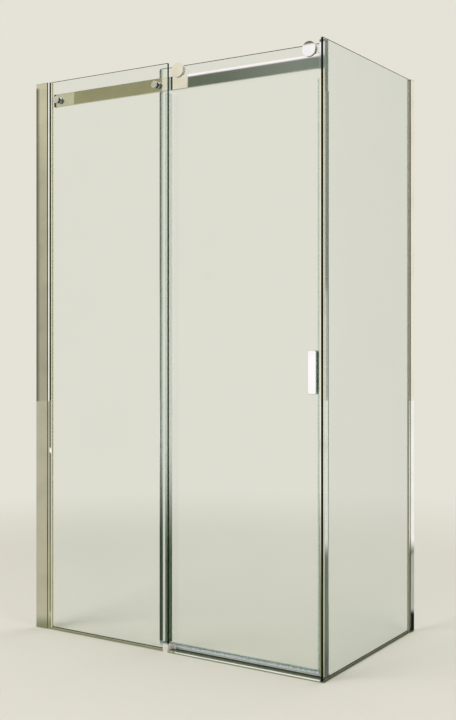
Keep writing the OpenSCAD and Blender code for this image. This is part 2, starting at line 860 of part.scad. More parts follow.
module left_wheel_disc() { wheel_disc(left_wheel_x); }
module left_wheel_tyre() { wheel_tyre(left_wheel_x); }
module left_wheel_bearing() { wheel_bearing(left_wheel_x); }
module right_wheel_disc() { wheel_disc(right_wheel_x); }
module right_wheel_tyre() { wheel_tyre(right_wheel_x); }
module right_wheel_bearing() { wheel_bearing(right_wheel_x); }

left_wall_profile();
left_glazing_profile();
left_profile_cap();
left_glass_gasket();
fixed_glass();
fixed_bottom_profile();
fixed_bottom_gasket();
fixed_overlap_seal();
side_wall_profile();
side_glazing_profile();
side_profile_cap();
side_glass_gasket();
side_glass();
side_bottom_profile();
side_bottom_gasket();
adjusting_screws();
rail();
rail_fixing_caps();
rail_fixing_washers();
rail_fixing_spacers();
rail_fixing_bolts();
rail_fixing_nuts();
rail_corner_bracket();
bracket_screws();
rail_stop();
rail_stop_buffer();
rail_stop_screw();
corner_profile();
corner_magnet_strip();
door_sill();
door_guide();
door_guide_pads();
door_guide_screws();
door_glass();
door_left_seal();
door_closing_seal();
door_magnet_strip();
door_bottom_seal();
wheel_axles();
axle_clips();
axle_collars();
axle_washers();
axle_sleeves();
axle_caps();
handle_front_plate();
handle_back_plate();
handle_studs();
handle_pads();
left_wheel_disc();
left_wheel_tyre();
left_wheel_bearing();
right_wheel_disc();
right_wheel_tyre();
right_wheel_bearing();
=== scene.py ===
"""Corner shower enclosure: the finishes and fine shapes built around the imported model, in metres."""

import logging
import math
from dataclasses import dataclass
from enum import Enum
from typing import Callable, Iterable, Sequence

import bmesh
import bpy
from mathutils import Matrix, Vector


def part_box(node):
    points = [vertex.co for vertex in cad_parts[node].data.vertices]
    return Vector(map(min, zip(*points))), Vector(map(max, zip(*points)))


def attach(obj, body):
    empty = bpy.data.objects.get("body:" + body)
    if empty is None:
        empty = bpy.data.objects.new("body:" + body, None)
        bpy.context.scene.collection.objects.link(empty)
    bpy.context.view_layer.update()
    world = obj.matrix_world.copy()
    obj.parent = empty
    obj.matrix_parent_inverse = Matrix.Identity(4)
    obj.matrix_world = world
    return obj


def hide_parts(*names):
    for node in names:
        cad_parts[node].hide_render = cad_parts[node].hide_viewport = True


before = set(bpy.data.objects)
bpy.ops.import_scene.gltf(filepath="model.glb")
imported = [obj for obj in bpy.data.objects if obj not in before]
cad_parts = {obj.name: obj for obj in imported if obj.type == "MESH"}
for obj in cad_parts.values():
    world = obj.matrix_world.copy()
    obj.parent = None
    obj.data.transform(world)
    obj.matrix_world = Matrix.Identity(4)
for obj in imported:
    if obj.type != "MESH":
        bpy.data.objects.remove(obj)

logging.basicConfig(level=logging.INFO, format="%(message)s")
log = logging.getLogger("enclosure")

MM = 0.001
SHARP_FROM = math.radians(50)
BEVEL_FROM = math.radians(25)
FLAT_BELOW = math.radians(0.5)
WELD = MM / 1000
SQUARE_ON = 0.99
SEGMENTS = 96
ARRIS = 1.1 * MM
SEAL_WALL = 1.2 * MM
AXLE_BORE = 4.05 * MM
CLEAR_BORE = 4.3 * MM

Mesh = bmesh.types.BMesh
Socket = bpy.types.NodeSocket
Colour = tuple[float, float, float]
Point2 = tuple[float, float]
Stretch = tuple[float, float]
Corner = tuple[float, float, float]
Box = tuple[Vector, Vector]


def srgb(red: int, green: int, blue: int) -> Colour:
    """Turns a colour as seen on a screen into the linear values that a shader takes.

    Args:
        red: Red from 0 to 255.
        green: Green from 0 to 255.
        blue: Blue from 0 to 255.

    Returns:
        The linear red, green and blue from 0 to 1.
    """

    def linear(value: int) -> float:
        """Undoes the screen curve for one value."""
        share = value / 255
        return share / 12.92 if share <= 0.04045 else ((share + 0.055) / 1.055) ** 2.4

    return linear(red), linear(green), linear(blue)


class Run(Enum):
    """Which way a section is run, or which way the axis of a turned piece points."""

    ALONG_X = 0
    ALONG_Y = 1
    ALONG_Z = 2

    def point(self, across: float, up: float, along: float) -> Vector:
        """Puts a point of a section into the row frame.

        Args:
            across: First coordinate of the section.
            up: Second coordinate of the section.
            along: Place along the run.

        Returns:
            The point. A section run along Z is given in X and Y, one run along X in Y and Z, and one
            run along Y in X and Z.
        """
        if self is Run.ALONG_Z:
            return Vector((across, up, along))
        if self is Run.ALONG_X:
            return Vector((along, across, up))
        return Vector((across, along, up))


class Side(Enum):
    """Where a piece that comes more than once stands. The value starts the names of its nodes."""

    LEFT = "left"
    RIGHT = "right"
    FLANK = "side"


class NodeBench:
    """Adds shader nodes to one material or to the world and links them."""

    def __init__(self, owner: bpy.types.Material | bpy.types.World, output: str = "OutputMaterial") -> None:
        """Starts an empty node tree.

        Args:
            owner: The material or world to write.
            output: The kind of its output node.
        """
        owner.use_nodes = True
        self.tree = owner.node_tree
        self.tree.nodes.clear()
        self.output = self.add(output)
        self.place = self.add("TexCoord").outputs["Object"]

    def add(self, kind: str, feeds: Iterable[tuple[str | int, object]] = (),
            **settings: object) -> bpy.types.Node:
        """Adds a node.

        Args:
            kind: The node's type, without the word that starts them all.
            feeds: An input's name or number and what goes into it, for each input that isn't left as it is.
            **settings: Attributes to set on it.

        Returns:
            The node.
        """
        made = self.tree.nodes.new("ShaderNode" + kind)
        for key, value in settings.items():
            setattr(made, key, value)
        for key, value in feeds:
            self.feed(made.inputs[key], value)
        return made

    def feed(self, target: Socket, value: object) -> None:
        """Fills an input.

        Args:
            target: The input.
            value: The socket to link to it, or the number, vector or colour to set it to.
        """
        if isinstance(value, Socket):
            self.tree.links.new(value, target)
        else:
            target.default_value = (*value, 1) if target.type == "RGBA" else value

    def noise(self, scale: float, detail: float = 2.0, stretch: Sequence[float] = (1, 1, 1)) -> Socket:
        """Gives a soft random pattern.

        Args:
            scale: Features per metre.
            detail: How many finer layers it has.
            stretch: Factor along each axis.

        Returns:
            The pattern's value, near 0.5 on average.
        """
        place = self.add("Mapping", (("Vector", self.place), ("Scale", stretch))).outputs["Vector"]
        feeds = (("Vector", place), ("Scale", scale), ("Detail", detail))
        return self.add("TexNoise", feeds).outputs["Fac"]

    def remap(self, value: Socket, low: float, high: float, to_low: float = 0.0,
              to_high: float = 1.0) -> Socket:
        """Maps a range of a value onto another, with its ends clamped.

        Args:
            value: The value.
            low: Start of its range.
            high: End of its range.
            to_low: What the start becomes.
            to_high: What the end becomes.

        Returns:
            The mapped value.
        """
        feeds = (("Value", value), ("From Min", low), ("From Max", high), ("To Min", to_low),
                 ("To Max", to_high))
        return self.add("MapRange", feeds, interpolation_type="SMOOTHSTEP").outputs["Result"]

    def mix(self, share: Socket, first: Colour | Socket, second: Colour | Socket) -> Socket:
        """Blends two colours, from the first where the share is 0 to the second where it is 1."""
        feeds = (("Factor", share), ("A", first), ("B", second))
        return self.add("Mix", feeds, data_type="RGBA").outputs["Result"]

    def mix_shader(self, share: Socket, first: Socket, second: Socket) -> Socket:
        """Mixes two shaders, from the first where the share is 0 to the second where it is 1."""
        return self.add("MixShader", enumerate((share, first, second))).outputs["Shader"]

    def glow(self, colour: Colour | Socket) -> Socket:
        """Gives a shader that shows a colour as it is, whatever the light."""
        return self.add("Emission", (("Color", colour),)).outputs["Emission"]

    def calc(self, operation: str, *values: Socket | float) -> Socket:
        """Works out a value from others by one operation."""
        return self.add("Math", enumerate(values), operation=operation).outputs["Value"]

    def shifted(self, value: Socket, factor: float, offset: float = 0.0) -> Socket:
        """Multiplies a value and then adds to it."""
        return self.calc("MULTIPLY_ADD", value, factor, offset)

    def reach(self, first: Socket, second: Socket) -> Socket:
        """Gives the length of the diagonal over two lengths."""
        squares = [self.calc("MULTIPLY", length, length) for length in (first, second)]
        return self.calc("SQRT", self.calc("ADD", *squares))

    def azimuth(self, left: Socket, ahead: Socket) -> Socket:
        """Gives the angle from straight ahead towards the left, in degrees."""
        return self.shifted(self.calc("ARCTAN2", left, ahead), 180 / math.pi)

    def bearing(self, across: Socket, depth: Socket, place: Point2) -> tuple[Socket, Socket]:
        """Gives the azimuth and the distance of a point on the floor as seen from a place on it."""
        left, ahead = self.shifted(across, -1, place[0]), self.shifted(depth, -1, place[1])
        return self.azimuth(left, ahead), self.reach(left, ahead)

    def within(self, value: Socket, low: float, high: float, soft: float) -> Socket:
        """Gives 1 where a value lies between two others and 0 outside them, with soft steps."""
        inside = self.remap(value, low - soft, low + soft), self.remap(value, high - soft, high + soft, 1, 0)
        return self.calc("MULTIPLY", *inside)

    def parts(self, vector: Socket) -> tuple[Socket, ...]:
        """Splits a vector into its three parts."""
        return tuple(self.add("SeparateXYZ", (("Vector", vector),)).outputs)

    def path(self, name: str) -> Socket:
        """Gives what is known of the way the light came."""
        return self.add("LightPath").outputs[name]

    def bump(self, height: Socket, distance: float) -> Socket:
        """Turns a height into a normal, where a height of 1 stands for the distance."""
        return self.add("Bump", (("Distance", distance), ("Height", height))).outputs["Normal"]

    def surface(self, colour: Socket, roughness: Socket | float, normal: Socket, **values: float) -> Socket:
        """Adds the surface shader and links it to the output.

        Args:
            colour: Its base colour.
            roughness: Its roughness.
            normal: Its normal.
            **values: What its other inputs are set to, with spaces in their names written as underscores.

        Returns:
            The shader.
        """
        feeds = [("Base Color", colour), ("Roughness", roughness), ("Normal", normal)]
        feeds += [(key.replace("_", " "), value) for key, value in values.items()]
        shader = self.add("BsdfPrincipled", feeds).outputs["BSDF"]
        self.feed(self.output.inputs["Surface"], shader)
        return shader


@dataclass(frozen=True)
class Finish:
    """A surface finish, made into one material the first time it is asked for.

    The scales of its patterns are features per metre.
    """

    name: str
    slot: str = ""

    def material(self) -> bpy.types.Material:
        """Gives the finish's material.

        Returns:
            The material.
        """
        known = bpy.data.materials.get(self.name)
        if known is not None:
            return known
        made = bpy.data.materials.new(self.name)
        self.paint(NodeBench(made))
        return made

    def paint(self, bench: NodeBench) -> None:
        """Writes the finish's nodes on the bench of its material."""
        raise NotImplementedError


@dataclass(frozen=True)
class PolishedMetal(Finish):
    """Mirror-bright plated metal with faint draw lines, a slight wave and dull smudges."""

    tint: Colour = srgb(246, 245, 241)
    shade: Colour = srgb(234, 234, 231)
    roughness: float = 0.014
    dulled: float = 0.035
    lines: Sequence[float] = (1, 1, 0.02)
    wave: float = 0.04 * MM
    smudge_scale: float = 9
    line_scale: float = 900
    wave_scale: float = 5
    slot: str = "chrome"

    def paint(self, bench: NodeBench) -> None:
        """Writes the nodes: smudges set the roughness, and draw lines and a slow wave set the normal.

        Args:
            bench: The bench of its material.
        """
        smudge = bench.noise(self.smudge_scale, 4)
        drawn = bench.remap(bench.noise(self.line_scale, 2, self.lines), 0.3, 0.7, 0, 0.005)
        height = bench.calc("ADD", drawn, bench.noise(self.wave_scale, 1))
        bench.surface(bench.mix(bench.remap(smudge, 0.4, 0.7), self.tint, self.shade),
                      bench.remap(smudge, 0.52, 0.78, self.roughness, self.dulled),
                      bench.bump(height, self.wave), Metallic=1.0)


@dataclass(frozen=True)
class TurnedSteel(Finish):
    """Stainless steel turned on a lathe, with fine rings and a satin sheen."""

    tint: Colour = srgb(196, 196, 192)
    shade: Colour = srgb(164, 164, 161)
    ring_scale: float = 2400
    slot: str = "steel"

    def paint(self, bench: NodeBench) -> None:
        """Writes the nodes: fine cross lines set the colour, the roughness and the normal.

        Args:
            bench: The bench of its material.
        """
        turned = bench.noise(self.ring_scale, 3, (0.15, 1, 0.15))
        bench.surface(bench.mix(bench.remap(turned, 0.3, 0.7), self.tint, self.shade),
                      bench.remap(turned, 0.3, 0.75, 0.18, 0.34), bench.bump(turned, 0.01 * MM), Metallic=1.0)


@dataclass(frozen=True)
class ClearGlass(Finish):
    """Clear toughened glass with the faint green of a thick pane and a slow roller wave."""

    tint: Colour = (0.962, 0.985, 0.970)
    wave: float = 0.03 * MM
    bend: float = 1.5
    spot_scale: float = 14
    cloud_scale: float = 2.5
    wave_scale: float = 4
    slot: str = "clear_glass"

    def paint(self, bench: NodeBench) -> None:
        """Writes the nodes: clear glass that lets lamps through, with water marks that tint it a little.

        Args:
            bench: The bench of its material.
        """
        marks = bench.calc("ADD", bench.remap(bench.noise(self.spot_scale, 5), 0.62, 0.8, 0, 0.6),
                           bench.remap(bench.noise(self.cloud_scale, 2), 0.35, 0.65, 0, 0.4))
        colour = bench.mix(marks, self.tint, tuple(0.97 * value for value in self.tint))
        waved = bench.bump(bench.noise(self.wave_scale, 1, (1, 1, 0.4)), self.wave)
        glass = bench.surface(colour, 0.0, waved, IOR=self.bend, Transmission_Weight=1.0)
        through = bench.add("BsdfTransparent", (("Color", self.tint),)).outputs["BSDF"]
        shown = bench.mix_shader(bench.path("Is Shadow Ray"), glass, through)
        bench.feed(bench.output.inputs["Surface"], shown)


@dataclass(frozen=True)
class GlassEdge(Finish):
    """Polished edge of a thick pane, dark green where it is deep and paler in places."""

    dark: Colour = srgb(4, 9, 7)
    light: Colour = srgb(20, 38, 30)
    along_scale: float = 3.5
    ground_scale: float = 700

    def paint(self, bench: NodeBench) -> None:
        """Writes the nodes: a dark glossy green that varies slowly along the edge.

        Args:
            bench: The bench of its material.
        """
        along, ground = bench.noise(self.along_scale, 3, (1, 1, 0.6)), bench.noise(self.ground_scale, 2)
        bench.surface(bench.mix(bench.remap(along, 0.42, 0.68), self.dark, self.light),
                      bench.remap(ground, 0.3, 0.7, 0.12, 0.3), bench.bump(ground, 0.01 * MM),
                      Specular_IOR_Level=0.15)


@dataclass(frozen=True)
class ClearSeal(Finish):
    """Clear soft plastic, slightly milky and blue, with fine lines along its run."""

    tint: Colour = srgb(240, 246, 243)
    shade: Colour = srgb(214, 226, 222)
    lines: Sequence[float] = (1, 1, 0.03)
    clear: float = 0.97
    bend: float = 1.22
    line_scale: float = 1300
    slot: str = "clear_seal"

    def paint(self, bench: NodeBench) -> None:
        """Writes the nodes: a satin clear plastic with drawn lines that catch light.

        Args:
            bench: The bench of its material.
        """
        drawn = bench.noise(self.line_scale, 2, self.lines)
        colour = self.toned(bench, bench.mix(bench.remap(drawn, 0.35, 0.65), self.tint, self.shade))
        bench.surface(colour, bench.remap(drawn, 0.3, 0.7, 0.04, 0.12), bench.bump(drawn, 0.02 * MM),
                      IOR=self.bend, Transmission_Weight=self.clear)

    def toned(self, bench: NodeBench, colour: Socket) -> Socket:
        """Gives the colour as it is."""
        return colour


@dataclass(frozen=True)
class ShadedFootSeal(ClearSeal):
    """Clear seal of an overlap, deepening to green towards its foot as painted shade."""

    # The deep green is painted shade: a dark reflection near the floor, laid into the colour.
    deep: Colour = srgb(92, 112, 92)
    deep_below: float = 0.3
    clear_above: float = 0.75

    def toned(self, bench: NodeBench, colour: Socket) -> Socket:
        """Lays the deep green of the painted shade over the colour near the floor."""
        height = bench.parts(bench.place)[2]
        return bench.mix(bench.remap(height, self.deep_below, self.clear_above, 1, 0), colour, self.deep)


@dataclass(frozen=True)
class SoftGasket(Finish):
    """Matt rubber or soft plastic strip with a fine grain."""

    tint: Colour = srgb(252, 246, 212)
    shade: Colour = srgb(240, 231, 192)
    rough: float = 0.6
    grain_scale: float = 900
    cloud_scale: float = 7
    slot: str = "cream_gasket"

    def paint(self, bench: NodeBench) -> None:
        """Writes the nodes: a fine grain in the colour, the roughness and the normal.

        Args:
            bench: The bench of its material.
        """
        grain = bench.noise(self.grain_scale, 4)
        cloudy = bench.calc("ADD", grain, bench.noise(self.cloud_scale, 2, (1, 1, 0.3)))
        bench.surface(bench.mix(bench.remap(cloudy, 0.7, 1.3), self.tint, self.shade),
                      bench.remap(grain, 0.3, 0.7, self.rough - 0.12, self.rough + 0.1),
                      bench.bump(grain, 0.04 * MM))


@dataclass(frozen=True)
class MouldedPlastic(Finish):
    """Smooth moulded plastic with a slight gloss and a very fine grain."""

    tint: Colour = srgb(232, 231, 226)
    shade: Colour = srgb(219, 217, 209)
    rough: float = 0.3
    grain_scale: float = 1600
    cloud_scale: float = 60
    slot: str = "white_plastic"

    def paint(self, bench: NodeBench) -> None:
        """Writes the nodes: a slow cloud in the colour and a fine grain in the gloss.

        Args:
            bench: The bench of its material.
        """
        grain, cloudy = bench.noise(self.grain_scale, 3), bench.noise(self.cloud_scale, 3)
        bench.surface(bench.mix(bench.remap(cloudy, 0.35, 0.65), self.tint, self.shade),
                      bench.remap(grain, 0.3, 0.7, self.rough - 0.06, self.rough + 0.1),
                      bench.bump(grain, 0.01 * MM))


@dataclass(frozen=True)
class FinishBook:
    """Every finish on the enclosure, with the run of its draw lines where it has them."""

    chrome_z: Finish = PolishedMetal("polished_chrome_upright")
    chrome_x: Finish = PolishedMetal("polished_chrome_level", lines=(0.02, 1, 1))
    chrome_y: Finish = PolishedMetal("polished_chrome_across", lines=(1, 0.02, 1))
    mirror: Finish = PolishedMetal("mirror_chrome", lines=(0.02, 1, 1), roughness=0.01, dulled=0.022,
                                   wave=0.015 * MM)
    chrome_round: Finish = PolishedMetal("polished_chrome_round", lines=(1, 1, 1), wave=0.02 * MM)
    plate: Finish = PolishedMetal("polished_plate", tint=srgb(252, 251, 248), shade=srgb(244, 244, 240))
    satin: Finish = PolishedMetal("satin_chrome", tint=srgb(252, 250, 244), shade=srgb(244, 242, 234),
                                  roughness=0.4, dulled=0.46, lines=(1, 1, 1))
    glazing: Finish = PolishedMetal("polished_bead", tint=srgb(250, 249, 245), shade=srgb(240, 239, 235),
                                    slot="bright_profile")
    # Chrome darkened to olive for the sill's top: painted shade, in place of the dark reflection there.
    tread: Finish = PolishedMetal("sill_top_painted_shade", tint=srgb(134, 140, 112), shade=srgb(116, 122, 96),
                                  roughness=0.03, dulled=0.08, lines=(0.02, 1, 1))
    steel: Finish = TurnedSteel("turned_steel")
    glass: Finish = ClearGlass("toughened_glass")
    glass_edge: Finish = GlassEdge("glass_edge")
    seal_z: Finish = ClearSeal("clear_seal_upright")
    # The overlap seals' green towards the foot is painted shade.
    seal_overlap: Finish = ShadedFootSeal("clear_seal_overlap_shaded_foot")
    seal_x: Finish = ClearSeal("ribbed_seal_level", tint=srgb(234, 244, 246), shade=srgb(150, 176, 184),
                               lines=(0.08, 0.4, 0.4), clear=0.05, bend=1.45)
    # A whiter copy of the ribbed seal for its lowest lip: a painted highlight.
    seal_lit_lip: Finish = ClearSeal("lip_level_painted_highlight", tint=srgb(255, 255, 252), shade=srgb(236, 243, 243),
                                 lines=(0.05, 1, 1), clear=0.05, bend=1.45)
    seal_leg: Finish = ClearSeal("clear_seal_level", lines=(0.03, 1, 1))
    cream: Finish = SoftGasket("cream_strip")
    # A darker copy of the cream strip for the side joint: painted shade.
    cream_shaded: Finish = SoftGasket("cream_strip_shaded", tint=srgb(206, 202, 176), shade=srgb(186, 182, 156))
    dark: Finish = SoftGasket("dark_strip", tint=srgb(58, 62, 50), shade=srgb(34, 38, 30), rough=0.7,
                              slot="dark_gasket")
    magnet: Finish = SoftGasket("magnet_bar", tint=srgb(240, 234, 208), shade=srgb(216, 210, 184), rough=0.42,
                                slot="magnet_strip")
    plastic: Finish = MouldedPlastic("moulded_white")
    # Black for the faces at the rail's left end.
    black: Finish = MouldedPlastic("black_rail_end", tint=srgb(20, 21, 18), shade=srgb(11, 12, 10), rough=0.45)


def span(node: str) -> Box:
    """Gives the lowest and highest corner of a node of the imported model."""
    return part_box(node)


def solid_spans(node: str) -> list[Box]:
    """Gives the box of each separate solid in a node, in order along X, then Y, then Z.

    Args:
        node: A node that holds several equal pieces.

    Returns:
        The lowest and highest corner of each solid.
    """
    mesh = bmesh.new()
    mesh.from_mesh(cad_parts[node].data)
    bmesh.ops.remove_doubles(mesh, verts=mesh.verts, dist=WELD)
    left = set(mesh.verts)
    boxes: list[Box] = []
    while left:
        stack = [left.pop()]
        low, high = stack[0].co.copy(), stack[0].co.copy()
        while stack:
            vertex = stack.pop()
            low = Vector(map(min, low, vertex.co))
            high = Vector(map(max, high, vertex.co))
            for edge in vertex.link_edges:
                other = edge.other_vert(vertex)
                if other in left:
                    left.remove(other)
                    stack.append(other)
        boxes.append((low, high))
    mesh.free()
    return sorted(boxes, key=lambda box: tuple(round(value, 4) for value in box[0]))


def axis_of(low: Vector, high: Vector, run: Run) -> Vector:
    """Gives a point on the axis of a round solid, with zero for its place along the axis.

    Args:
        low: Lowest corner of its box.
        high: Highest corner.
        run: Which way the axis points.

    Returns:
        The point.
    """
    centre = 0.5 * (low + high)
    centre[run.value] = 0
    return centre


def softened(node: str, radius: float, steps: int = 2, shortest: float = 5 * MM) -> Mesh:
    """Copies a node's mesh and rounds its long sharp edges.

    Args:
        node: The node to copy.
        radius: Width of the rounding.
        steps: Faces across the rounding.
        shortest: Edges shorter than this, such as those round a hole, stay sharp.

    Returns:
        The rounded copy.
    """
    mesh = bmesh.new()
    mesh.from_mesh(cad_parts[node].data)
    bmesh.ops.remove_doubles(mesh, verts=mesh.verts, dist=WELD)
    bmesh.ops.dissolve_limit(mesh, angle_limit=FLAT_BELOW, verts=mesh.verts, edges=mesh.edges)
    sharp = [edge for edge in mesh.edges if edge.is_manifold and edge.calc_length() > shortest
             and edge.calc_face_angle() > BEVEL_FROM]
    bmesh.ops.bevel(mesh, geom=sharp, offset=radius, segments=steps, profile=0.5, affect="EDGES",
                    clamp_overlap=True)
    return mesh


def slim(mesh: Mesh, by: float = 0.03 * MM) -> None:
    """Draws a mesh in along its normals, so that it never shares a face with its neighbour.

    Args:
        mesh: The mesh, which is changed.
        by: How far each point moves.
    """
    mesh.normal_update()
    for vertex in mesh.verts:
        vertex.co -= vertex.normal * by


def corner_normals(mesh: Mesh) -> list[Vector]:
    """Works out a normal for each face corner, so that large flat faces stay flat beside their soft edges.

    Args:
        mesh: The mesh, with its sharp edges marked.

    Returns:
        The normals, in the order of the faces and their corners.
    """
    mesh.normal_update()
    weighted = {face: face.normal * face.calc_area() ** 2 for face in mesh.faces}
    normals: list[Vector] = []
    for face in mesh.faces:
        for loop in face.loops:
            group, queue = {face}, [face]
            while queue:
                current = queue.pop()
                for edge in current.edges:
                    if edge.smooth and loop.vert in edge.verts:
                        fresh = [other for other in edge.link_faces if other not in group]
                        group.update(fresh)
                        queue.extend(fresh)
            total = sum((weighted[other] for other in group), Vector())
            normals.append((total if total.length > 0 else face.normal).normalized())
    return normals


def merged(meshes: Sequence[Mesh]) -> Mesh:
    """Puts several meshes into one and frees them.

    Args:
        meshes: The meshes.

    Returns:
        The joined mesh.
    """
    whole = bmesh.new()
    for mesh in meshes:
        data = bpy.data.meshes.new("joining")
        mesh.to_mesh(data)
        mesh.free()
        whole.from_mesh(data)
        bpy.data.meshes.remove(data)
    return whole


def rounded_outline(corners: Sequence[Corner], steps: int = 4) -> list[Point2]:
    """Rounds the corners of an outline.

    Args:
        corners: Each corner's two coordinates and its radius, in order round the outline.
        steps: Segments in each rounded corner.

    Returns:
        The outline's points.
    """
    points: list[Point2] = []
    count = len(corners)
    for i, (x, y, radius) in enumerate(corners):
        here = Vector((x, y))
        before = Vector(corners[i - 1][:2]) - here
        after = Vector(corners[(i + 1) % count][:2]) - here
        if radius <= 0:
            points.append((x, y))
            continue
        half = before.angle(after) / 2
        reach = min(radius / math.tan(half), 0.49 * before.length, 0.49 * after.length)
        start, end = here + before.normalized() * reach, here + after.normalized() * reach
        for k in range(steps + 1):
            share = k / steps
            mid = start.lerp(here, share).lerp(here.lerp(end, share), share)
            points.append((mid.x, mid.y))
    return points


def reflected(corners: Sequence[Corner], total: float) -> list[Corner]:
    """Gives corners in reverse, mirrored so that old and new second coordinates add up to a total."""
    return [(x, total - y, radius) for x, y, radius in reversed(corners)]


def extruded(outline: Sequence[Point2], run: Run, start: float, end: float,
             edge: float = 0.2 * MM) -> Mesh:
    """Runs an outline between two places, with its end edges softened.

    Args:
        outline: The closed outline's points.
        run: Which way it runs.
        start: Where it starts.
        end: Where it ends.
        edge: Width of the softened edge at each end.

    Returns:
        The mesh.
    """
    mesh = bmesh.new()
    rings = [[mesh.verts.new(run.point(*point, along)) for point in outline] for along in (start, end)]
    count = len(outline)
    for i in range(count):
        mesh.faces.new((rings[0][i], rings[0][(i + 1) % count], rings[1][(i + 1) % count], rings[1][i]))
    caps = [mesh.faces.new(reversed(rings[0])), mesh.faces.new(rings[1])]
    bmesh.ops.recalc_face_normals(mesh, faces=mesh.faces)
    if edge > 0:
        around = {line for cap in caps for line in cap.edges}
        bmesh.ops.bevel(mesh, geom=list(around), offset=edge, segments=2, profile=0.5, affect="EDGES",
                        clamp_overlap=True)
    bmesh.ops.triangulate(mesh, faces=[face for face in mesh.faces if len(face.verts) > 4])
    return mesh


@dataclass(frozen=True)
class Ring:
    """One ring of a turned piece: its radius, its place along the axis and, for a socket, its sides."""

    radius: float
    along: float
    sides: int = 0

    def reach(self, angle: float) -> float:
        """Gives how far the ring lies from the axis at an angle.

        Args:
            angle: The angle round the axis, in radians.

        Returns:
            The distance. With sides it follows a polygon whose corners lie at the radius.
        """
        if not self.sides:
            return self.radius
        part = 2 * math.pi / self.sides
        return self.radius * math.cos(part / 2) / math.cos(angle % part - part / 2)


def turned(rings: Sequence[Ring], centre: Vector, run: Run = Run.ALONG_Y, closed: bool = False,
           segments: int = SEGMENTS) -> Mesh:
    """Turns a profile round an axis.

    Args:
        rings: The profile from one end to the other. It is capped at both ends unless it is closed.
        centre: Where the axis passes, with its place along the axis as zero.
        run: Which way the axis points.
        closed: Whether the last ring joins the first, as on a washer.
        segments: Faces round the axis.

    Returns:
        The mesh.
    """
    mesh = bmesh.new()
    rows = []
    for ring in rings:
        row = []
        for k in range(segments):
            angle = 2 * math.pi * k / segments
            reach = ring.reach(angle)
            point = run.point(reach * math.cos(angle), reach * math.sin(angle), ring.along)
            row.append(mesh.verts.new(centre + point))
        rows.append(row)
    pairs = list(zip(rows, rows[1:] + rows[:1] if closed else rows[1:]))
    for first, second in pairs:
        for k in range(segments):
            after = (k + 1) % segments
            mesh.faces.new((first[k], first[after], second[after], second[k]))
    if not closed:
        mesh.faces.new(reversed(rows[0]))
        mesh.faces.new(rows[-1])
    bmesh.ops.recalc_face_normals(mesh, faces=mesh.faces)
    return mesh


def rounded_rod(radius: float, start: float, end: float, edge: float, bore: float = 0.0) -> list[Ring]:
    """Gives the profile of a rod or tube with softened edges.

    Args:
        radius: Outer radius.
        start: Where it starts along its axis.
        end: Where it ends.
        edge: Width of its softened edges.
        bore: Radius of the hole through it, or 0.

    Returns:
        The rings, to be turned closed where there is a bore.
    """
    turns = [math.pi / 8 * k for k in range(5)]
    arc = [(edge * (1 - math.sin(turn)), edge * (1 - math.cos(turn))) for turn in turns]
    outer = [Ring(radius - inset, start + along) for inset, along in arc]
    outer += [Ring(radius - inset, end - along) for inset, along in reversed(arc)]
    if bore <= 0:
        return outer
    inner = min(edge, 0.3 * (radius - bore))
    return outer + [Ring(bore + inner, end), Ring(bore, end - inner), Ring(bore, start + inner),
                    Ring(bore + inner, start)]


Profile = Callable[[float, float, float], list[Ring]]


def tube(edge: float, bore: float = 0.0) -> Profile:
    """Gives the profile of a rod or tube from the width of its softened edges and the radius of its bore."""
    return lambda radius, start, end: rounded_rod(radius, start, end, edge, bore)


def lathe(low: Vector, high: Vector, profile: Profile, closed: bool = False,
          segments: int = SEGMENTS) -> Mesh:
    """Turns a solid whose axis runs front to back.

    Args:
        low: Lowest corner of its box.
        high: Highest corner.
        profile: Gives its rings from its radius and from where it starts and ends along the axis.
        closed: Whether it has a bore.
        segments: Faces round the axis.

    Returns:
        The mesh.
    """
    rings = profile(0.5 * (high.x - low.x), low.y, high.y)
    return turned(rings, axis_of(low, high, Run.ALONG_Y), Run.ALONG_Y, closed, segments)


def stacked(outlines: Sequence[Sequence[Point2]], places: Sequence[float], run: Run) -> Mesh:
    """Joins outlines with the same number of points, one behind the other, and closes both ends.

    Args:
        outlines: The outlines.
        places: Where each one lies along the run.
        run: Which way they follow each other.

    Returns:
        The mesh.
    """
    mesh = bmesh.new()
    rows = [[mesh.verts.new(run.point(*point, place)) for point in outline]
            for outline, place in zip(outlines, places)]
    count = len(rows[0])
    for first, second in zip(rows, rows[1:]):
        for k in range(count):
            after = (k + 1) % count
            mesh.faces.new((first[k], first[after], second[after], second[k]))
    mesh.faces.new(reversed(rows[0]))
    mesh.faces.new(rows[-1])
    bmesh.ops.recalc_face_normals(mesh, faces=mesh.faces)
    return mesh


@dataclass(frozen=True)
class PanScrew:
    """A screw with a domed head and a hexagon socket: its axis, the way its head faces and its sizes."""

    run: Run
    towards: int
    head: float = 3.5 * MM
    depth: float = 2.0 * MM

    def mesh(self, low: Vector, high: Vector) -> Mesh:
        """Makes a screw.

        Args:
            low: Lowest corner of the screw's box.
            high: Highest corner.

        Returns:
            Its mesh.
        """
        tip, top = (low, high) if self.towards > 0 else (high, low)
        first, last = tip[self.run.value], top[self.run.value]
        shank, socket = 0.5 * self.head, 0.42 * self.head
        seat = last - self.towards * self.depth
        rings = [Ring(0.7 * shank, first), Ring(shank, first + self.towards * 0.3 * shank), Ring(shank, seat)]
        for width, height in ((0.97, 0), (1, 0.15), (0.96, 0.5), (0.82, 0.85)):
            rings.append(Ring(width * self.head, seat + self.towards * height * self.depth))
        rings += [Ring(0.62 * self.head, last), Ring(socket, last, 6),
                  Ring(socket, last - self.towards * 0.6 * self.depth, 6)]
        return turned(rings, axis_of(low, high, self.run), self.run, segments=48)


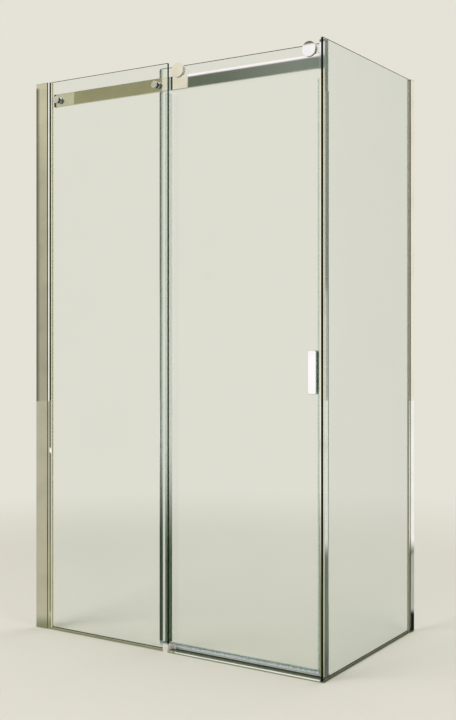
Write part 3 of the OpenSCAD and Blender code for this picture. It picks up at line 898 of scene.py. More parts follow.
@dataclass
class Assembly:
    """A group of pieces that ride on one body."""

    body: str
    finishes: FinishBook

    def build(self) -> None:
        """Makes and dresses every piece of the group."""
        raise NotImplementedError

    def add(self, name: str, node: str, mesh: Mesh, *finishes: Finish, exact: bool = False) -> None:
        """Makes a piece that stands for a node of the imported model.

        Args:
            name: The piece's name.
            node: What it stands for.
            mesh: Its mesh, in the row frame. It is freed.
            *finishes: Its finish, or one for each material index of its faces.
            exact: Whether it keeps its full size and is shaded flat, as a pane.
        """
        if not exact:
            slim(mesh)
        for face in mesh.faces:
            face.smooth = not exact
        for edge in mesh.edges:
            edge.smooth = not edge.is_manifold or edge.calc_face_angle() < SHARP_FROM
        normals = [] if exact else corner_normals(mesh)
        data = bpy.data.meshes.new(name)
        mesh.to_mesh(data)
        mesh.free()
        if not exact:
            data.normals_split_custom_set(normals)
        piece = bpy.data.objects.new(name, data)
        bpy.context.scene.collection.objects.link(piece)
        for finish in finishes:
            data.materials.append(finish.material())
        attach(piece, self.body)
        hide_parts(node)
        log.info("%s: %d faces on %s, in place of %s", name, len(data.polygons), self.body, node)

    def soften(self, name: str, node: str, finish: Finish, radius: float) -> None:
        """Makes a piece that is a node with its edges rounded."""
        self.add(name, node, softened(node, radius), finish)

    def section(self, name: str, node: str, outline: Sequence[Point2], finish: Finish) -> None:
        """Makes a piece by running an outline upright over the whole height of a node."""
        low, high = span(node)
        self.add(name, node, extruded(outline, Run.ALONG_Z, low.z, high.z), finish)

    def gathered(self, name: str, node: str, finish: Finish, make: Callable[[Vector, Vector], Mesh]) -> None:
        """Makes a piece of one mesh for each solid of a node.

        Args:
            name: The piece's name.
            node: The node that it stands for.
            finish: Its finish.
            make: Gives the mesh from the lowest and highest corner of a solid.
        """
        self.add(name, node, merged([make(low, high) for low, high in solid_spans(node)]), finish)

    def turned_set(self, name: str, node: str, finish: Finish, profile: Profile, closed: bool = False,
                   segments: int = SEGMENTS) -> None:
        """Makes a turned piece for each solid of a node whose axis runs front to back.

        Args:
            name: The piece's name.
            node: The node that it stands for.
            finish: Its finish.
            profile: Gives the rings of a solid.
            closed: Whether it has a bore.
            segments: Faces round the axis.
        """
        self.gathered(name, node, finish, lambda low, high: lathe(low, high, profile, closed, segments))

    def magnet(self, name: str, node: str) -> None:
        """Makes a magnet strip: an upright bar with round corners and a groove down each broad face.

        Args:
            name: The piece's name.
            node: The node that it stands for.
        """
        low, high = span(node)
        middle, half, sink, corner = 0.5 * (low.y + high.y), 1.2 * MM, 0.4 * MM, 0.6 * MM
        side = [(low.x, low.y, corner), (low.x, middle - half, 0.2 * MM), (low.x + sink, middle, 0.4 * MM),
                (low.x, middle + half, 0.2 * MM), (low.x, high.y, corner)]
        outline = side + [(low.x + high.x - x, y, radius) for x, y, radius in reversed(side)]
        self.section(name, node, rounded_outline(outline), self.finishes.magnet)

    def pane(self, name: str, node: str, normal: Run) -> None:
        """Makes a pane with ground arrises and dark polished edges.

        Args:
            name: The piece's name.
            node: The pane's node.
            normal: Which way its faces point.
        """
        mesh = softened(node, ARRIS, 1)
        for face in mesh.faces:
            face.material_index = 0 if abs(face.normal[normal.value]) > SQUARE_ON else 1
        self.add(name, node, mesh, self.finishes.glass, self.finishes.glass_edge, exact=True)


@dataclass
class WallJoint(Assembly):
    """The channel on a wall, the bead that slides in it, its end cap and the gasket round the pane's edge."""

    side: Side
    channel_edge: float = 0.5 * MM
    cap_edge: float = 0.4 * MM
    bead_wall: float = 2.0 * MM
    gasket_wall: float = 1.6 * MM
    gasket_tip: float = 0.7 * MM
    gasket_taper: float = 1.3 * MM
    nose_drop: float = 1.6 * MM
    nose_rise: float = 0.5 * MM
    ridge_place: float = 0.55
    ridge_round: float = 0.04

    def build(self) -> None:
        """Makes and dresses the joint's pieces."""
        book, name = self.finishes, self.side.value
        self.soften(f"{name}_wall_channel", f"{name}_wall_profile", book.chrome_z, self.channel_edge)
        self.soften(f"{name}_channel_cap", f"{name}_profile_cap", book.chrome_round, self.cap_edge)
        self.section(f"{name}_glazing_bead", f"{name}_glazing_profile", self.bead(), book.glazing)
        # The side joint's gasket takes the darker cream, which is painted shade.
        cream = book.cream if self.side is Side.LEFT else book.cream_shaded
        self.section(f"{name}_pane_gasket", f"{name}_glass_gasket", self.gasket(), cream)

    def flat(self, piece: str) -> tuple[float, float, float, float]:
        """Gives a node's place in the joint's own section.

        Args:
            piece: The node's name without its side.

        Returns:
            Where it starts and ends away from the wall, and where it starts and ends from the outer face in.
        """
        low, high = span(f"{self.side.value}_{piece}")
        if self.side is Side.LEFT:
            return low.x, high.x, low.y, high.y
        return -high.y, -low.y, -high.x, -low.x

    def placed(self, outline: Sequence[Point2]) -> list[Point2]:
        """Puts an outline given in the joint's own section into X and Y."""
        return list(outline) if self.side is Side.LEFT else [(-v, -u) for u, v in outline]

    def bead(self) -> list[Point2]:
        """Gives the bead's outline: two walls and a web, with a ridge along each wall where it shows.

        Returns:
            Its points in X and Y.
        """
        start, end, outer, inner = self.flat("glazing_profile")
        shown, gasket = self.flat("wall_profile")[1], self.flat("glass_gasket")[0]
        wall, web, edge = self.bead_wall, gasket - self.bead_wall, 0.3 * MM
        front = [(start, outer, edge), (shown, outer + self.nose_rise, 0.5 * MM),
                 (shown + self.ridge_place * (end - shown), outer, self.ridge_round * (end - shown)),
                 (end, outer + self.nose_drop, 0.15 * MM), (end, outer + wall, 0.1 * MM),
                 (gasket, outer + wall, 0)]
        inside = [(start, inner - wall, edge), (web, inner - wall, edge), (web, outer + wall, edge),
                  (start, outer + wall, edge)]
        return self.placed(rounded_outline(front + reflected(front, outer + inner) + inside, 5))

    def gasket(self) -> list[Point2]:
        """Gives the gasket's outline: it wraps the pane's edge, and its two lips taper where they show.

        Returns:
            Its points in X and Y.
        """
        start, end, outer, inner = self.flat("glass_gasket")
        wall = self.gasket_wall
        front = [(start, outer, 0.4 * MM), (end - self.gasket_taper, outer, 0.8 * MM),
                 (end, outer + self.gasket_tip, 0.4 * MM), (end, outer + wall, 0.2 * MM),
                 (start + wall, outer + wall, 0.2 * MM)]
        return self.placed(rounded_outline(front + reflected(front, outer + inner), 4))


@dataclass
class FixedScreen(Assembly):
    """The two fixed panes with their channels on the floor, and the seal at the front pane's free edge."""

    channel_edge: float = 0.6 * MM
    gasket_edge: float = 0.35 * MM
    fin_in: float = 2.0 * MM
    fin_taper: float = 0.3 * MM
    fin_root: float = 0.8 * MM

    def build(self) -> None:
        """Makes and dresses the fixed panes and what holds their feet."""
        book = self.finishes
        self.pane("front_fixed_pane", "fixed_glass", Run.ALONG_Y)
        self.pane("side_fixed_pane", "side_glass", Run.ALONG_X)
        self.soften("front_floor_channel", "fixed_bottom_profile", book.chrome_x, self.channel_edge)
        self.soften("side_floor_channel", "side_bottom_profile", book.chrome_y, self.channel_edge)
        self.soften("front_floor_gasket", "fixed_bottom_gasket", book.dark, self.gasket_edge)
        self.soften("side_floor_gasket", "side_bottom_gasket", book.dark, self.gasket_edge)
        self.overlap_seal()

    def overlap_seal(self) -> None:
        """Makes the seal on the fixed pane: a flat foot and a fin that thins towards the door."""
        node, wall = "fixed_overlap_seal", SEAL_WALL
        low, high = span(node)
        fin, edge, tip = high.x - self.fin_in, 0.3 * MM, 0.4 * MM
        outline = rounded_outline([
            (low.x, low.y, edge), (high.x, low.y, edge), (high.x, low.y + wall, 0.5 * MM),
            (fin, low.y + wall, self.fin_root), (fin - self.fin_taper, high.y, tip),
            (fin - wall, high.y, tip), (fin - wall, low.y + wall, self.fin_root),
            (low.x, low.y + 0.6 * wall, edge)])
        self.section("front_overlap_seal", node, outline, self.finishes.seal_overlap)


@dataclass
class SlideRail(Assembly):
    """The flat rail, its fixings through the front pane, the corner bracket and the end stop."""

    rail_edge: float = 0.8 * MM
    black_end_length: float = 9.0 * MM
    cap_edge: float = 1.1 * MM
    nut_edge: float = 0.7 * MM
    small_edge: float = 0.5 * MM
    buffer_edge: float = 0.3 * MM
    bolt_seat: float = 2.5 * MM
    socket: float = 2.6 * MM
    socket_depth: float = 0.45 * MM
    stop_head: Stretch = (3.0 * MM, 1.0 * MM)
    thread_pitch: float = 1.25 * MM
    thread_depth: float = 0.35 * MM

    def build(self) -> None:
        """Makes and dresses the rail and everything that holds it."""
        book = self.finishes
        self.rail()
        self.turned_set("fixing_caps", "rail_fixing_caps", book.satin, self.cap)
        washer, spacer = tube(0.25 * MM, CLEAR_BORE), tube(0.7 * MM, CLEAR_BORE)
        self.turned_set("fixing_washers", "rail_fixing_washers", book.seal_z, washer, True)
        self.turned_set("fixing_spacers", "rail_fixing_spacers", book.mirror, spacer, True)
        self.turned_set("fixing_nuts", "rail_fixing_nuts", book.chrome_round, self.nut)
        self.turned_set("fixing_bolts", "rail_fixing_bolts", book.steel, self.threaded)
        self.soften("corner_bracket", "rail_corner_bracket", book.steel, self.small_edge)
        self.soften("end_stop", "rail_stop", book.steel, self.small_edge)
        self.soften("end_stop_buffer", "rail_stop_buffer", book.dark, self.buffer_edge)
        self.gathered("bracket_fixing_screws", "bracket_screws", book.steel, PanScrew(Run.ALONG_X, -1).mesh)
        self.gathered("end_stop_screw", "rail_stop_screw", book.steel,
                      PanScrew(Run.ALONG_Y, 1, *self.stop_head).mesh)
        self.gathered("bead_screws", "adjusting_screws", book.steel, self.bead_screw)

    def rail(self) -> None:
        """Makes the rail: a flat bar with soft edges, whose faces are black over a stretch at its left end.
        """
        bar = softened("rail", self.rail_edge)
        # Faces to the left of this place are black.
        black_from = span("rail")[0].x + self.black_end_length
        bmesh.ops.bisect_plane(bar, geom=[*bar.verts, *bar.edges, *bar.faces], plane_co=(black_from, 0, 0),
                               plane_no=(1, 0, 0))
        for face in bar.faces:
            face.material_index = 1 if face.calc_center_median().x < black_from else 0
        self.add("slide_rail", "rail", bar, self.finishes.mirror, self.finishes.black)

    def threaded(self, radius: float, start: float, end: float) -> list[Ring]:
        """Gives the profile of a bolt with a ridge for each turn of its thread.

        Args:
            radius: Radius over the thread.
            start: Where the bolt starts along its axis.
            end: Where it ends.

        Returns:
            Its rings.
        """
        root = radius - self.thread_depth
        count = int((end - start) / self.thread_pitch)
        pitch = (end - start) / count
        rings = [Ring(root - self.thread_depth, start)]
        for k in range(count):
            rings += [Ring(root, start + (k + 0.15) * pitch), Ring(radius, start + (k + 0.5) * pitch),
                      Ring(root, start + (k + 0.85) * pitch)]
        return rings + [Ring(root - self.thread_depth, end)]

    def cap(self, radius: float, start: float, end: float) -> list[Ring]:
        """Gives the profile of a cap on the pane's face, with a rounded rim and its bolt's seat behind."""
        return [Ring(0.35 * radius, start), *rounded_rod(radius, start, end, self.cap_edge),
                Ring(AXLE_BORE, end), Ring(AXLE_BORE, end - self.bolt_seat)]

    def nut(self, radius: float, start: float, end: float) -> list[Ring]:
        """Gives the profile of a nut behind the rail, with a shallow hexagon for its key."""
        return [Ring(AXLE_BORE, start + self.bolt_seat), Ring(AXLE_BORE, start),
                *rounded_rod(radius, start, end, self.nut_edge), Ring(self.socket * 1.1, end, 6),
                Ring(self.socket, end - 0.1 * MM, 6), Ring(self.socket, end - self.socket_depth, 6)]

    def bead_screw(self, low: Vector, high: Vector) -> Mesh:
        """Makes a screw that fixes a bead in its channel, put in from inside the enclosure."""
        screw = PanScrew(Run.ALONG_Y, 1) if high.x < 0 else PanScrew(Run.ALONG_X, -1)
        return screw.mesh(low, high)


@dataclass
class CornerPost(Assembly):
    """The channel on the side pane that the door closes into, with its magnet strip."""

    wall: float = 2.0 * MM
    edge: float = 0.5 * MM
    front_round: float = 0.8 * MM
    facet_width: float = 8.0 * MM
    facet_sink: float = 0.9 * MM
    grooves: tuple[float, ...] = (0.3, 0.54)
    groove_half: float = 2.2 * MM
    groove_sink: float = 0.2 * MM

    def build(self) -> None:
        """Makes and dresses the channel and the strip."""
        self.channel()
        self.magnet("closing_magnet", "corner_magnet_strip")

    def channel(self) -> None:
        """Makes the channel: it opens to the door, with two shallow grooves and a facet on the pane."""
        low, high = span("corner_profile")
        web = span("corner_magnet_strip")[1].x
        grooves: list[Corner] = []
        for share in self.grooves:
            middle = low.y + share * (high.y - low.y)
            grooves += [(high.x, middle - self.groove_half, 0), (high.x - self.groove_sink, middle, 0),
                        (high.x, middle + self.groove_half, 0)]
        outline = rounded_outline([
            (low.x, low.y, self.edge), (high.x, low.y, self.front_round), *grooves,
            (high.x, high.y - self.facet_width, 0), (high.x - self.facet_sink, high.y, self.edge),
            (low.x, high.y, self.edge),
            (low.x, high.y - self.wall, self.edge), (web, high.y - self.wall, 0),
            (web, low.y + self.wall, 0), (low.x, low.y + self.wall, self.edge)], 8)
        self.section("closing_channel", "corner_profile", outline, self.finishes.chrome_z)


@dataclass
class Threshold(Assembly):
    """The sill across the opening and the guide that keeps the door's foot in line."""

    sill_edge: float = 0.6 * MM
    guide_edge: float = 0.9 * MM
    pad_edge: float = 0.35 * MM
    point: float = 0.3 * MM
    socket: float = 1.1 * MM
    socket_depth: float = 1.5 * MM

    def build(self) -> None:
        """Makes and dresses the sill and the guide."""
        book = self.finishes
        sill = softened("door_sill", self.sill_edge)
        # The sill's flat top takes the darkened chrome, which is painted shade.
        sill.normal_update()
        for face in sill.faces:
            face.material_index = 1 if face.normal.z > SQUARE_ON else 0
        self.add("opening_sill", "door_sill", sill, book.chrome_x, book.tread)
        self.soften("foot_guide", "door_guide", book.plastic, self.guide_edge)
        self.soften("guide_slide_pads", "door_guide_pads", book.plastic, self.pad_edge)
        self.turned_set("guide_grub_screws", "door_guide_screws", book.steel, self.grub, segments=48)

    def grub(self, radius: float, start: float, end: float) -> list[Ring]:
        """Gives the profile of a grub screw with a blunt point and a hexagon socket."""
        return [Ring(0.6 * radius, start), *rounded_rod(radius, start + self.point, end, 0.25 * MM),
                Ring(self.socket, end, 6), Ring(self.socket, end - self.socket_depth, 6)]


@dataclass
class SlidingDoor(Assembly):
    """The door pane with the seals on its edges."""

    rear_nose: float = 2.4 * MM
    front_nose: float = 0.8 * MM
    fin: float = 1.5 * MM
    base: float = 2.5 * MM
    band: float = 8.0 * MM
    lip: float = 2.6 * MM
    groove: float = 0.3 * MM
    groove_half: float = 0.6 * MM
    groove_count: int = 3

    def build(self) -> None:
        """Makes and dresses the door pane and its seals."""
        book = self.finishes
        self.pane("door_pane", "door_glass", Run.ALONG_Y)
        self.edge_seal("door_rear_seal", "door_left_seal", book.seal_overlap, True, self.rear_nose)
        self.edge_seal("door_front_seal", "door_closing_seal", book.seal_z, False, self.front_nose)
        self.magnet("door_magnet", "door_magnet_strip")
        self.foot_seal()

    def edge_seal(self, name: str, node: str, finish: Finish, leads_left: bool, nose: float) -> None:
        """Makes a seal clipped on an upright edge of the door.

        Args:
            name: The piece's name.
            node: The node that it stands for.
            finish: Its finish.
            leads_left: Whether its closed side points to the left.
            nose: Radius of the corners on its closed side.
        """
        low, high = span(node)
        glass_low, glass_high = span("door_glass")
        closed, tip, edge = (low.x, high.x, glass_low.x) if leads_left else (high.x, low.x, glass_high.x)
        front = [(closed, low.y, nose), (tip, low.y, 0.5 * MM), (tip, low.y + SEAL_WALL, 0.3 * MM),
                 (edge, low.y + SEAL_WALL, 0.2 * MM)]
        self.section(name, node, rounded_outline(front + reflected(front, low.y + high.y), 6), finish)

    def foot_seal(self) -> None:
        """Makes the seal clipped on the door's foot: a ribbed band low down, clear legs and a drip fin."""
        node = "door_bottom_seal"
        low, high = span(node)
        glass = span("door_glass")[0].z
        wall, middle, base = SEAL_WALL, 0.5 * (low.y + high.y), glass - self.base
        pitch = (self.band - self.lip) / self.groove_count
        ribs: list[Corner] = []
        for k in range(self.groove_count):
            place = base + self.lip + (k + 0.5) * pitch
            ribs += [(low.y, place - self.groove_half, 0.1 * MM), (low.y + self.groove, place, 0.2 * MM),
                     (low.y, place + self.groove_half, 0.1 * MM)]
        half = 0.5 * self.fin
        outline = rounded_outline([
            (low.y, base, 0.9 * MM), (low.y, base + self.lip, 0), *ribs, (low.y, base + self.band, 0),
            (low.y, high.z, 0.5 * MM), (low.y + wall, high.z, 0.4 * MM), (low.y + wall, glass, 0.2 * MM),
            (high.y - wall, glass, 0.2 * MM), (high.y - wall, high.z, 0.4 * MM), (high.y, high.z, 0.5 * MM),
            (high.y, base, 0.9 * MM), (middle + half, base, 0.8 * MM),
            (middle + 0.5 * half, low.z, 0.3 * MM), (middle - 0.5 * half, low.z, 0.3 * MM),
            (middle - half, base, 0.8 * MM)], 3)
        mesh = extruded(outline, Run.ALONG_X, low.x, high.x)
        for face in mesh.faces:
            place = face.calc_center_median()
            shown = place.y < middle and place.z < base + self.band
            # The lowest lip takes the whiter copy of the seal, a painted highlight.
            face.material_index = (2 if place.z < base + self.lip else 0) if shown else 1
        book = self.finishes
        self.add("door_foot_seal", node, mesh, book.seal_x, book.seal_leg, book.seal_lit_lip)


@dataclass
class Hanger(Assembly):
    """The two axles through the door pane, with their collars, clips, washers and caps."""

    cap_edge: float = 1.2 * MM
    dish: float = 0.5 * MM
    seat: float = 5.0 * MM

    def build(self) -> None:
        """Makes and dresses what hangs the door on its wheels."""
        book = self.finishes
        self.turned_set("wheel_pins", "wheel_axles", book.steel, tube(0.5 * MM))
        for kind, finish, edge in (("clips", book.steel, 0.15 * MM), ("collars", book.steel, 0.5 * MM),
                                   ("washers", book.seal_z, 0.25 * MM), ("sleeves", book.seal_z, 0.25 * MM)):
            self.turned_set(f"pin_{kind}", f"axle_{kind}", finish, tube(edge, CLEAR_BORE), True)
        self.turned_set("pin_caps", "axle_caps", book.chrome_round, self.cap)

    def cap(self, radius: float, start: float, end: float) -> list[Ring]:
        """Gives the profile of a cap on the door's back, with its axle's seat and a dished face."""
        return [Ring(CLEAR_BORE, start + self.seat), Ring(CLEAR_BORE, start),
                *rounded_rod(radius, start, end, self.cap_edge), Ring(0.62 * radius, end),
                Ring(0.5 * radius, end - 0.7 * self.dish), Ring(0.3 * radius, end - self.dish)]


@dataclass
class PullHandle(Assembly):
    """The handle: a plate on each face of the door, two studs through it and the pads under the plates."""

    corner: float = 6.5 * MM
    bevel: float = 0.8 * MM
    back_edge: float = 0.5 * MM
    stud_edge: float = 0.4 * MM
    pad_in: float = 2.0 * MM
    pad_edge: float = 0.2 * MM
    corner_steps: int = 10

    def build(self) -> None:
        """Makes and dresses the handle's pieces."""
        book = self.finishes
        self.plate("handle_outer_plate", "handle_front_plate", -1)
        self.plate("handle_inner_plate", "handle_back_plate", 1)
        self.turned_set("handle_pins", "handle_studs", book.steel, tube(self.stud_edge))
        self.gathered("handle_glass_pads", "handle_pads", book.seal_z, self.pad)

    def pad(self, low: Vector, high: Vector) -> Mesh:
        """Makes a pad under a plate.

        Args:
            low: Lowest corner of the pad's box.
            high: Highest corner.

        Returns:
            Its mesh.
        """
        edge, corner = self.pad_edge, self.corner - self.pad_in
        outlines = [self.outline(low, high, inset, corner) for inset in (edge, 0, 0, edge)]
        return stacked(outlines, (low.y, low.y + edge, high.y - edge, high.y), Run.ALONG_Y)

    def outline(self, low: Vector, high: Vector, inset: float, corner: float) -> list[Point2]:
        """Gives a rectangle with round corners in X and Z.

        Args:
            low: Lowest corner of the box that it fills.
            high: Highest corner.
            inset: How far it lies in from that box.
            corner: Radius of its corners without the inset.

        Returns:
            The outline's points.
        """
        x0, x1, z0, z1 = low.x + inset, high.x - inset, low.z + inset, high.z - inset
        radius = corner - inset
        points = []
        for quarter, (x, z) in enumerate(((x1 - radius, z1 - radius), (x0 + radius, z1 - radius),
                                          (x0 + radius, z0 + radius), (x1 - radius, z0 + radius))):
            for k in range(self.corner_steps + 1):
                angle = math.pi / 2 * (quarter + k / self.corner_steps)
                points.append((x + radius * math.cos(angle), z + radius * math.sin(angle)))
        return points

    def plate(self, name: str, node: str, towards: int) -> None:
        """Makes a plate whose face has a soft bevel all round.

        Args:
            name: The piece's name.
            node: The node that it stands for.
            towards: -1 where its face points to the front, and 1 where it points to the back.
        """
        low, high = span(node)
        thick, bevel, back = high.y - low.y, self.bevel, self.back_edge
        soft = 0.25 * bevel
        steps = [(bevel + 2 * soft, 0), (bevel + 0.6 * soft, 0.12 * soft), (bevel - soft, soft),
                 (soft, bevel - soft), (0.12 * soft, bevel + 0.6 * soft), (0, bevel + 2 * soft),
                 (0, thick - back), (0.3 * back, thick - 0.3 * back), (back, thick)]
        face = low.y if towards < 0 else high.y
        places = [face - towards * depth for inset, depth in steps]
        outlines = [self.outline(low, high, inset, self.corner) for inset, depth in steps]
        self.add(name, node, stacked(outlines, places, Run.ALONG_Y), self.finishes.plate)


@dataclass
class Roller(Assembly):
    """A wheel: its polished disc, the tyre that runs on the rail and the bearing inside."""

    side: Side
    disc_edge: float = 0.5 * MM
    bore: float = 9.05 * MM
    tread: float = 17.7 * MM
    flange: float = 2.2 * MM
    groove: float = 0.35 * MM
    groove_places: tuple[float, ...] = (0.32, 0.68)
    race: float = 1.9 * MM
    shield: float = 0.4 * MM

    def build(self) -> None:
        """Makes and dresses the wheel's pieces."""
        book, name = self.finishes, self.side.value
        for kind, finish, profile, closed, segments in (
                ("disc", book.chrome_round, self.disc, False, 128),
                ("tyre", book.plastic, self.tyre, True, SEGMENTS),
                ("bearing", book.steel, self.bearing, True, SEGMENTS)):
            node = f"{name}_wheel_{kind}"
            self.add(f"{name}_roller_{kind}", node, lathe(*span(node), profile, closed, segments), finish)

    def disc(self, radius: float, start: float, end: float) -> list[Ring]:
        """Gives the disc's profile: a flat face with a rounded rim."""
        return [Ring(0.3 * radius, start), Ring(0.75 * radius, start),
                *rounded_rod(radius, start, end, self.disc_edge), Ring(0.3 * radius, end)]

    def tyre(self, radius: float, start: float, end: float) -> list[Ring]:
        """Gives the tyre's profile: a tread with two fine grooves and a rounded flange behind it.

        Args:
            radius: Radius of the flange.
            start: Where the tyre starts along its axis.
            end: Where it ends.

        Returns:
            Its rings.
        """
        tread, floor, edge, root = self.tread, self.tread - self.groove, 0.5 * MM, end - self.flange
        rings = [Ring(self.bore, start), Ring(tread - edge, start), Ring(tread, start + edge)]
        for share in self.groove_places:
            middle = start + share * (root - start)
            rings += [Ring(tread, middle - 0.4 * MM), Ring(floor, middle - 0.2 * MM),
                      Ring(floor, middle + 0.2 * MM), Ring(tread, middle + 0.4 * MM)]
        return rings + [Ring(tread, root - 0.3 * MM), Ring(tread + 0.3 * MM, root),
                        Ring(radius - 0.6 * MM, root), Ring(radius, root + edge), Ring(radius, end - edge),
                        Ring(radius - 0.6 * MM, end), Ring(self.bore, end)]

    def bearing(self, radius: float, start: float, end: float) -> list[Ring]:
        """Gives the bearing's profile: two races with a sunk shield between them on each side.

        Args:
            radius: Its outer radius.
            start: Where it starts along its axis.
            end: Where it ends.

        Returns:
            Its rings.
        """
        bore, inner, outer = AXLE_BORE, AXLE_BORE + self.race, radius - self.race
        side = [Ring(bore, 0.2 * MM), Ring(bore + 0.2 * MM, 0), Ring(inner, 0), Ring(inner, self.shield),
                Ring(outer, self.shield), Ring(outer, 0), Ring(radius - 0.3 * MM, 0), Ring(radius, 0.3 * MM)]
        return ([Ring(ring.radius, start + ring.along) for ring in side]
                + [Ring(ring.radius, end - ring.along) for ring in reversed(side)])


@dataclass(frozen=True)
class Sector:
    """A stretch of the surroundings from an azimuth on, and how many degrees its soft start takes.

    The azimuth is given in degrees from the front towards the left.
    """

    start: float
    colour: Colour
    soft: float = 0.03


@dataclass(frozen=True)
class Belt:
    """A belt of the surroundings from a slope up, with its sectors by azimuth and half its soft start."""

    start: float
    sectors: tuple[Sector, ...]
    soft: float = 0.001


@dataclass
class Studio:
    """The plain pale floor and backdrop, the soft lamps, and what polished metal shows of the room.

    The stretches are where one colour gives way to the next: those of a turn or of the front are azimuths
    in degrees from the front towards the left, those of a fade or a shade are places or distances in
    metres, steep is how far up a direction points, and the second face counts faces that light went
    through.
    """

    backdrop: Colour = srgb(229, 226, 215)
    ambient: Colour = srgb(205, 205, 202)
    floor_colour: Colour = srgb(226, 223, 212)
    glass_glow: Colour = srgb(176, 182, 170)
    ceiling: Colour = srgb(240, 238, 230)
    ceiling_from: float = 0.62
    floor_grain: float = 160
    floor_radius: float = 14.0
    floor_gap: float = 0.2 * MM
    fade: Stretch = (1.3, 3.6)
    front_end: Stretch = (34.82, 34.86)
    front_start: Stretch = (-40, -30)
    steep: Stretch = (0.33, 0.37)
    second_face: Stretch = (2.4, 2.6)
    wall_place: Point2 = (-0.45, -0.35)
    post_place: Point2 = (0.58, -0.332)
    wall_turn: Stretch = (33, 36)
    wall_fade: Stretch = (0.12, 0.3)
    right_turn: Stretch = (-84, -70)
    back_turn: Stretch = (-164.0, -163.6)
    back_fade: Stretch = (0.56, 0.66)
    pane_shade: Stretch = (0.59, 0.61)
    pane_fade: Stretch = (0.68, 0.8)
    far_fade: Stretch = (1.9, 2.4)
    line_turn: Stretch = (27.4, 27.97)
    line_fade: Stretch = (1.0, 4.5)
    lamp_aim: float = 0.9

    def build(self) -> None:
        """Makes the studio."""
        bpy.context.scene.view_settings.view_transform = "Standard"
        self.world()
        self.floor()
        self.lamp("key_lamp", Vector((-1.6, -3.4, 3.6)), 2.6, 84)
        self.lamp("fill_lamp", Vector((3.2, -1.0, 3.0)), 2.4, 34)
        self.lamp("back_lamp", Vector((0.6, 3.4, 3.4)), 2.4, 30)

    def room_belts(self) -> tuple[Belt, ...]:
        """Gives the room's belts to the sides and the back, from below the horizon up.

        Returns:
            The belts.
        """
        cream, lit, wall = srgb(236, 229, 209), srgb(240, 234, 218), srgb(236, 229, 211)
        deep, pale, tile = srgb(108, 110, 84), srgb(250, 250, 246), srgb(156, 149, 111)
        low = (self.behind(srgb(255, 255, 252), lit, srgb(176, 184, 172), srgb(122, 130, 116))
               + self.beside(cream, srgb(172, 167, 145), srgb(172, 167, 146), deep))
        middle = (self.behind(srgb(190, 198, 186), lit, srgb(78, 88, 70), srgb(108, 116, 102))
                  + self.beside(cream, srgb(180, 175, 152), srgb(181, 177, 154), deep))
        high = (self.behind(srgb(196, 204, 186), wall, srgb(70, 82, 62), srgb(88, 96, 82))
                + self.beside(cream, tile, srgb(204, 199, 171), deep))
        top = (self.behind(srgb(150, 158, 142), wall, srgb(64, 76, 58), srgb(76, 84, 70), pale)
               + self.beside(cream, tile, srgb(208, 203, 175), srgb(208, 203, 175)))
        return (Belt(-9.0, low), Belt(0.04, middle, 0.01), Belt(0.165, high, 0.03), Belt(0.2234, top),
                Belt(self.ceiling_from, (Sector(-180, self.ceiling),)))

    def behind(self, near: Colour, far: Colour, rest: Colour, aside: Colour,
               back: Colour = srgb(60, 76, 58)) -> tuple[Sector, ...]:
        """Gives the sectors behind the enclosure and to its right.

        Args:
            near: What the channel at the corner mirrors.
            far: What the profile at the side pane's far edge mirrors.
            rest: Colour round them.
            aside: Colour to the right.
            back: Colour straight behind.

        Returns:
            The sectors.
        """
        return (Sector(-180, back), Sector(-163.9, rest), Sector(-158.5, far), Sector(-156.2, rest),
                Sector(-153.6, near), Sector(-152.25, srgb(74, 100, 84)), Sector(-151.2, rest),
                Sector(-140, srgb(156, 158, 152), 8), Sector(-122, aside, 12),
                Sector(-103, srgb(238, 240, 234), 10), Sector(-82, aside, 12),
                Sector(-58, srgb(84, 94, 82), 10))

    def beside(self, cream: Colour, tile: Colour, post: Colour, deep: Colour) -> tuple[Sector, ...]:
        """Gives the sectors to the left of the enclosure.

        Args:
            cream: Colour of the narrow upright that the left wheel mirrors.
            tile: Colour of the wall that the rail's left half mirrors.
            post: Colour that the rail's end and the left wall profile mirror.
            deep: Colour that the outer edge of the left wall profile mirrors.

        Returns:
            The sectors.
        """
        return (Sector(34.8, cream), Sector(36.2, tile), Sector(40.83, srgb(204, 198, 166)),
                Sector(41.7, post), Sector(42.66, deep, 0.16), Sector(46, srgb(250, 248, 242)),
                Sector(96, srgb(214, 212, 196)), Sector(125, srgb(62, 66, 44)), Sector(160, srgb(60, 76, 58)))

    def front_belts(self) -> tuple[Belt, ...]:
        """Gives the room's belts ahead of the enclosure, from below the horizon up.

        Returns:
            The belts.
        """
        white, deep, grey = (1.04, 1.0, 1.03), srgb(66, 76, 66), srgb(128, 136, 125)
        low = (Sector(-60, deep), Sector(22, grey), Sector(27.4, srgb(247, 241, 218)), Sector(27.97, white),
               Sector(29.3, grey))
        screen = (Sector(-60, deep), Sector(22, srgb(136, 143, 133)), Sector(25, srgb(130, 138, 127), 6),
                  Sector(31.2, srgb(104, 112, 96), 6.5))
        band = (Sector(-60, srgb(120, 128, 118)), Sector(22, white))
        return (Belt(-9.0, low), Belt(0.2768, screen), Belt(0.2905, band),
                Belt(0.3045, (Sector(-60, srgb(96, 104, 90)),)),
                Belt(self.ceiling_from, (Sector(-60, self.ceiling),)))

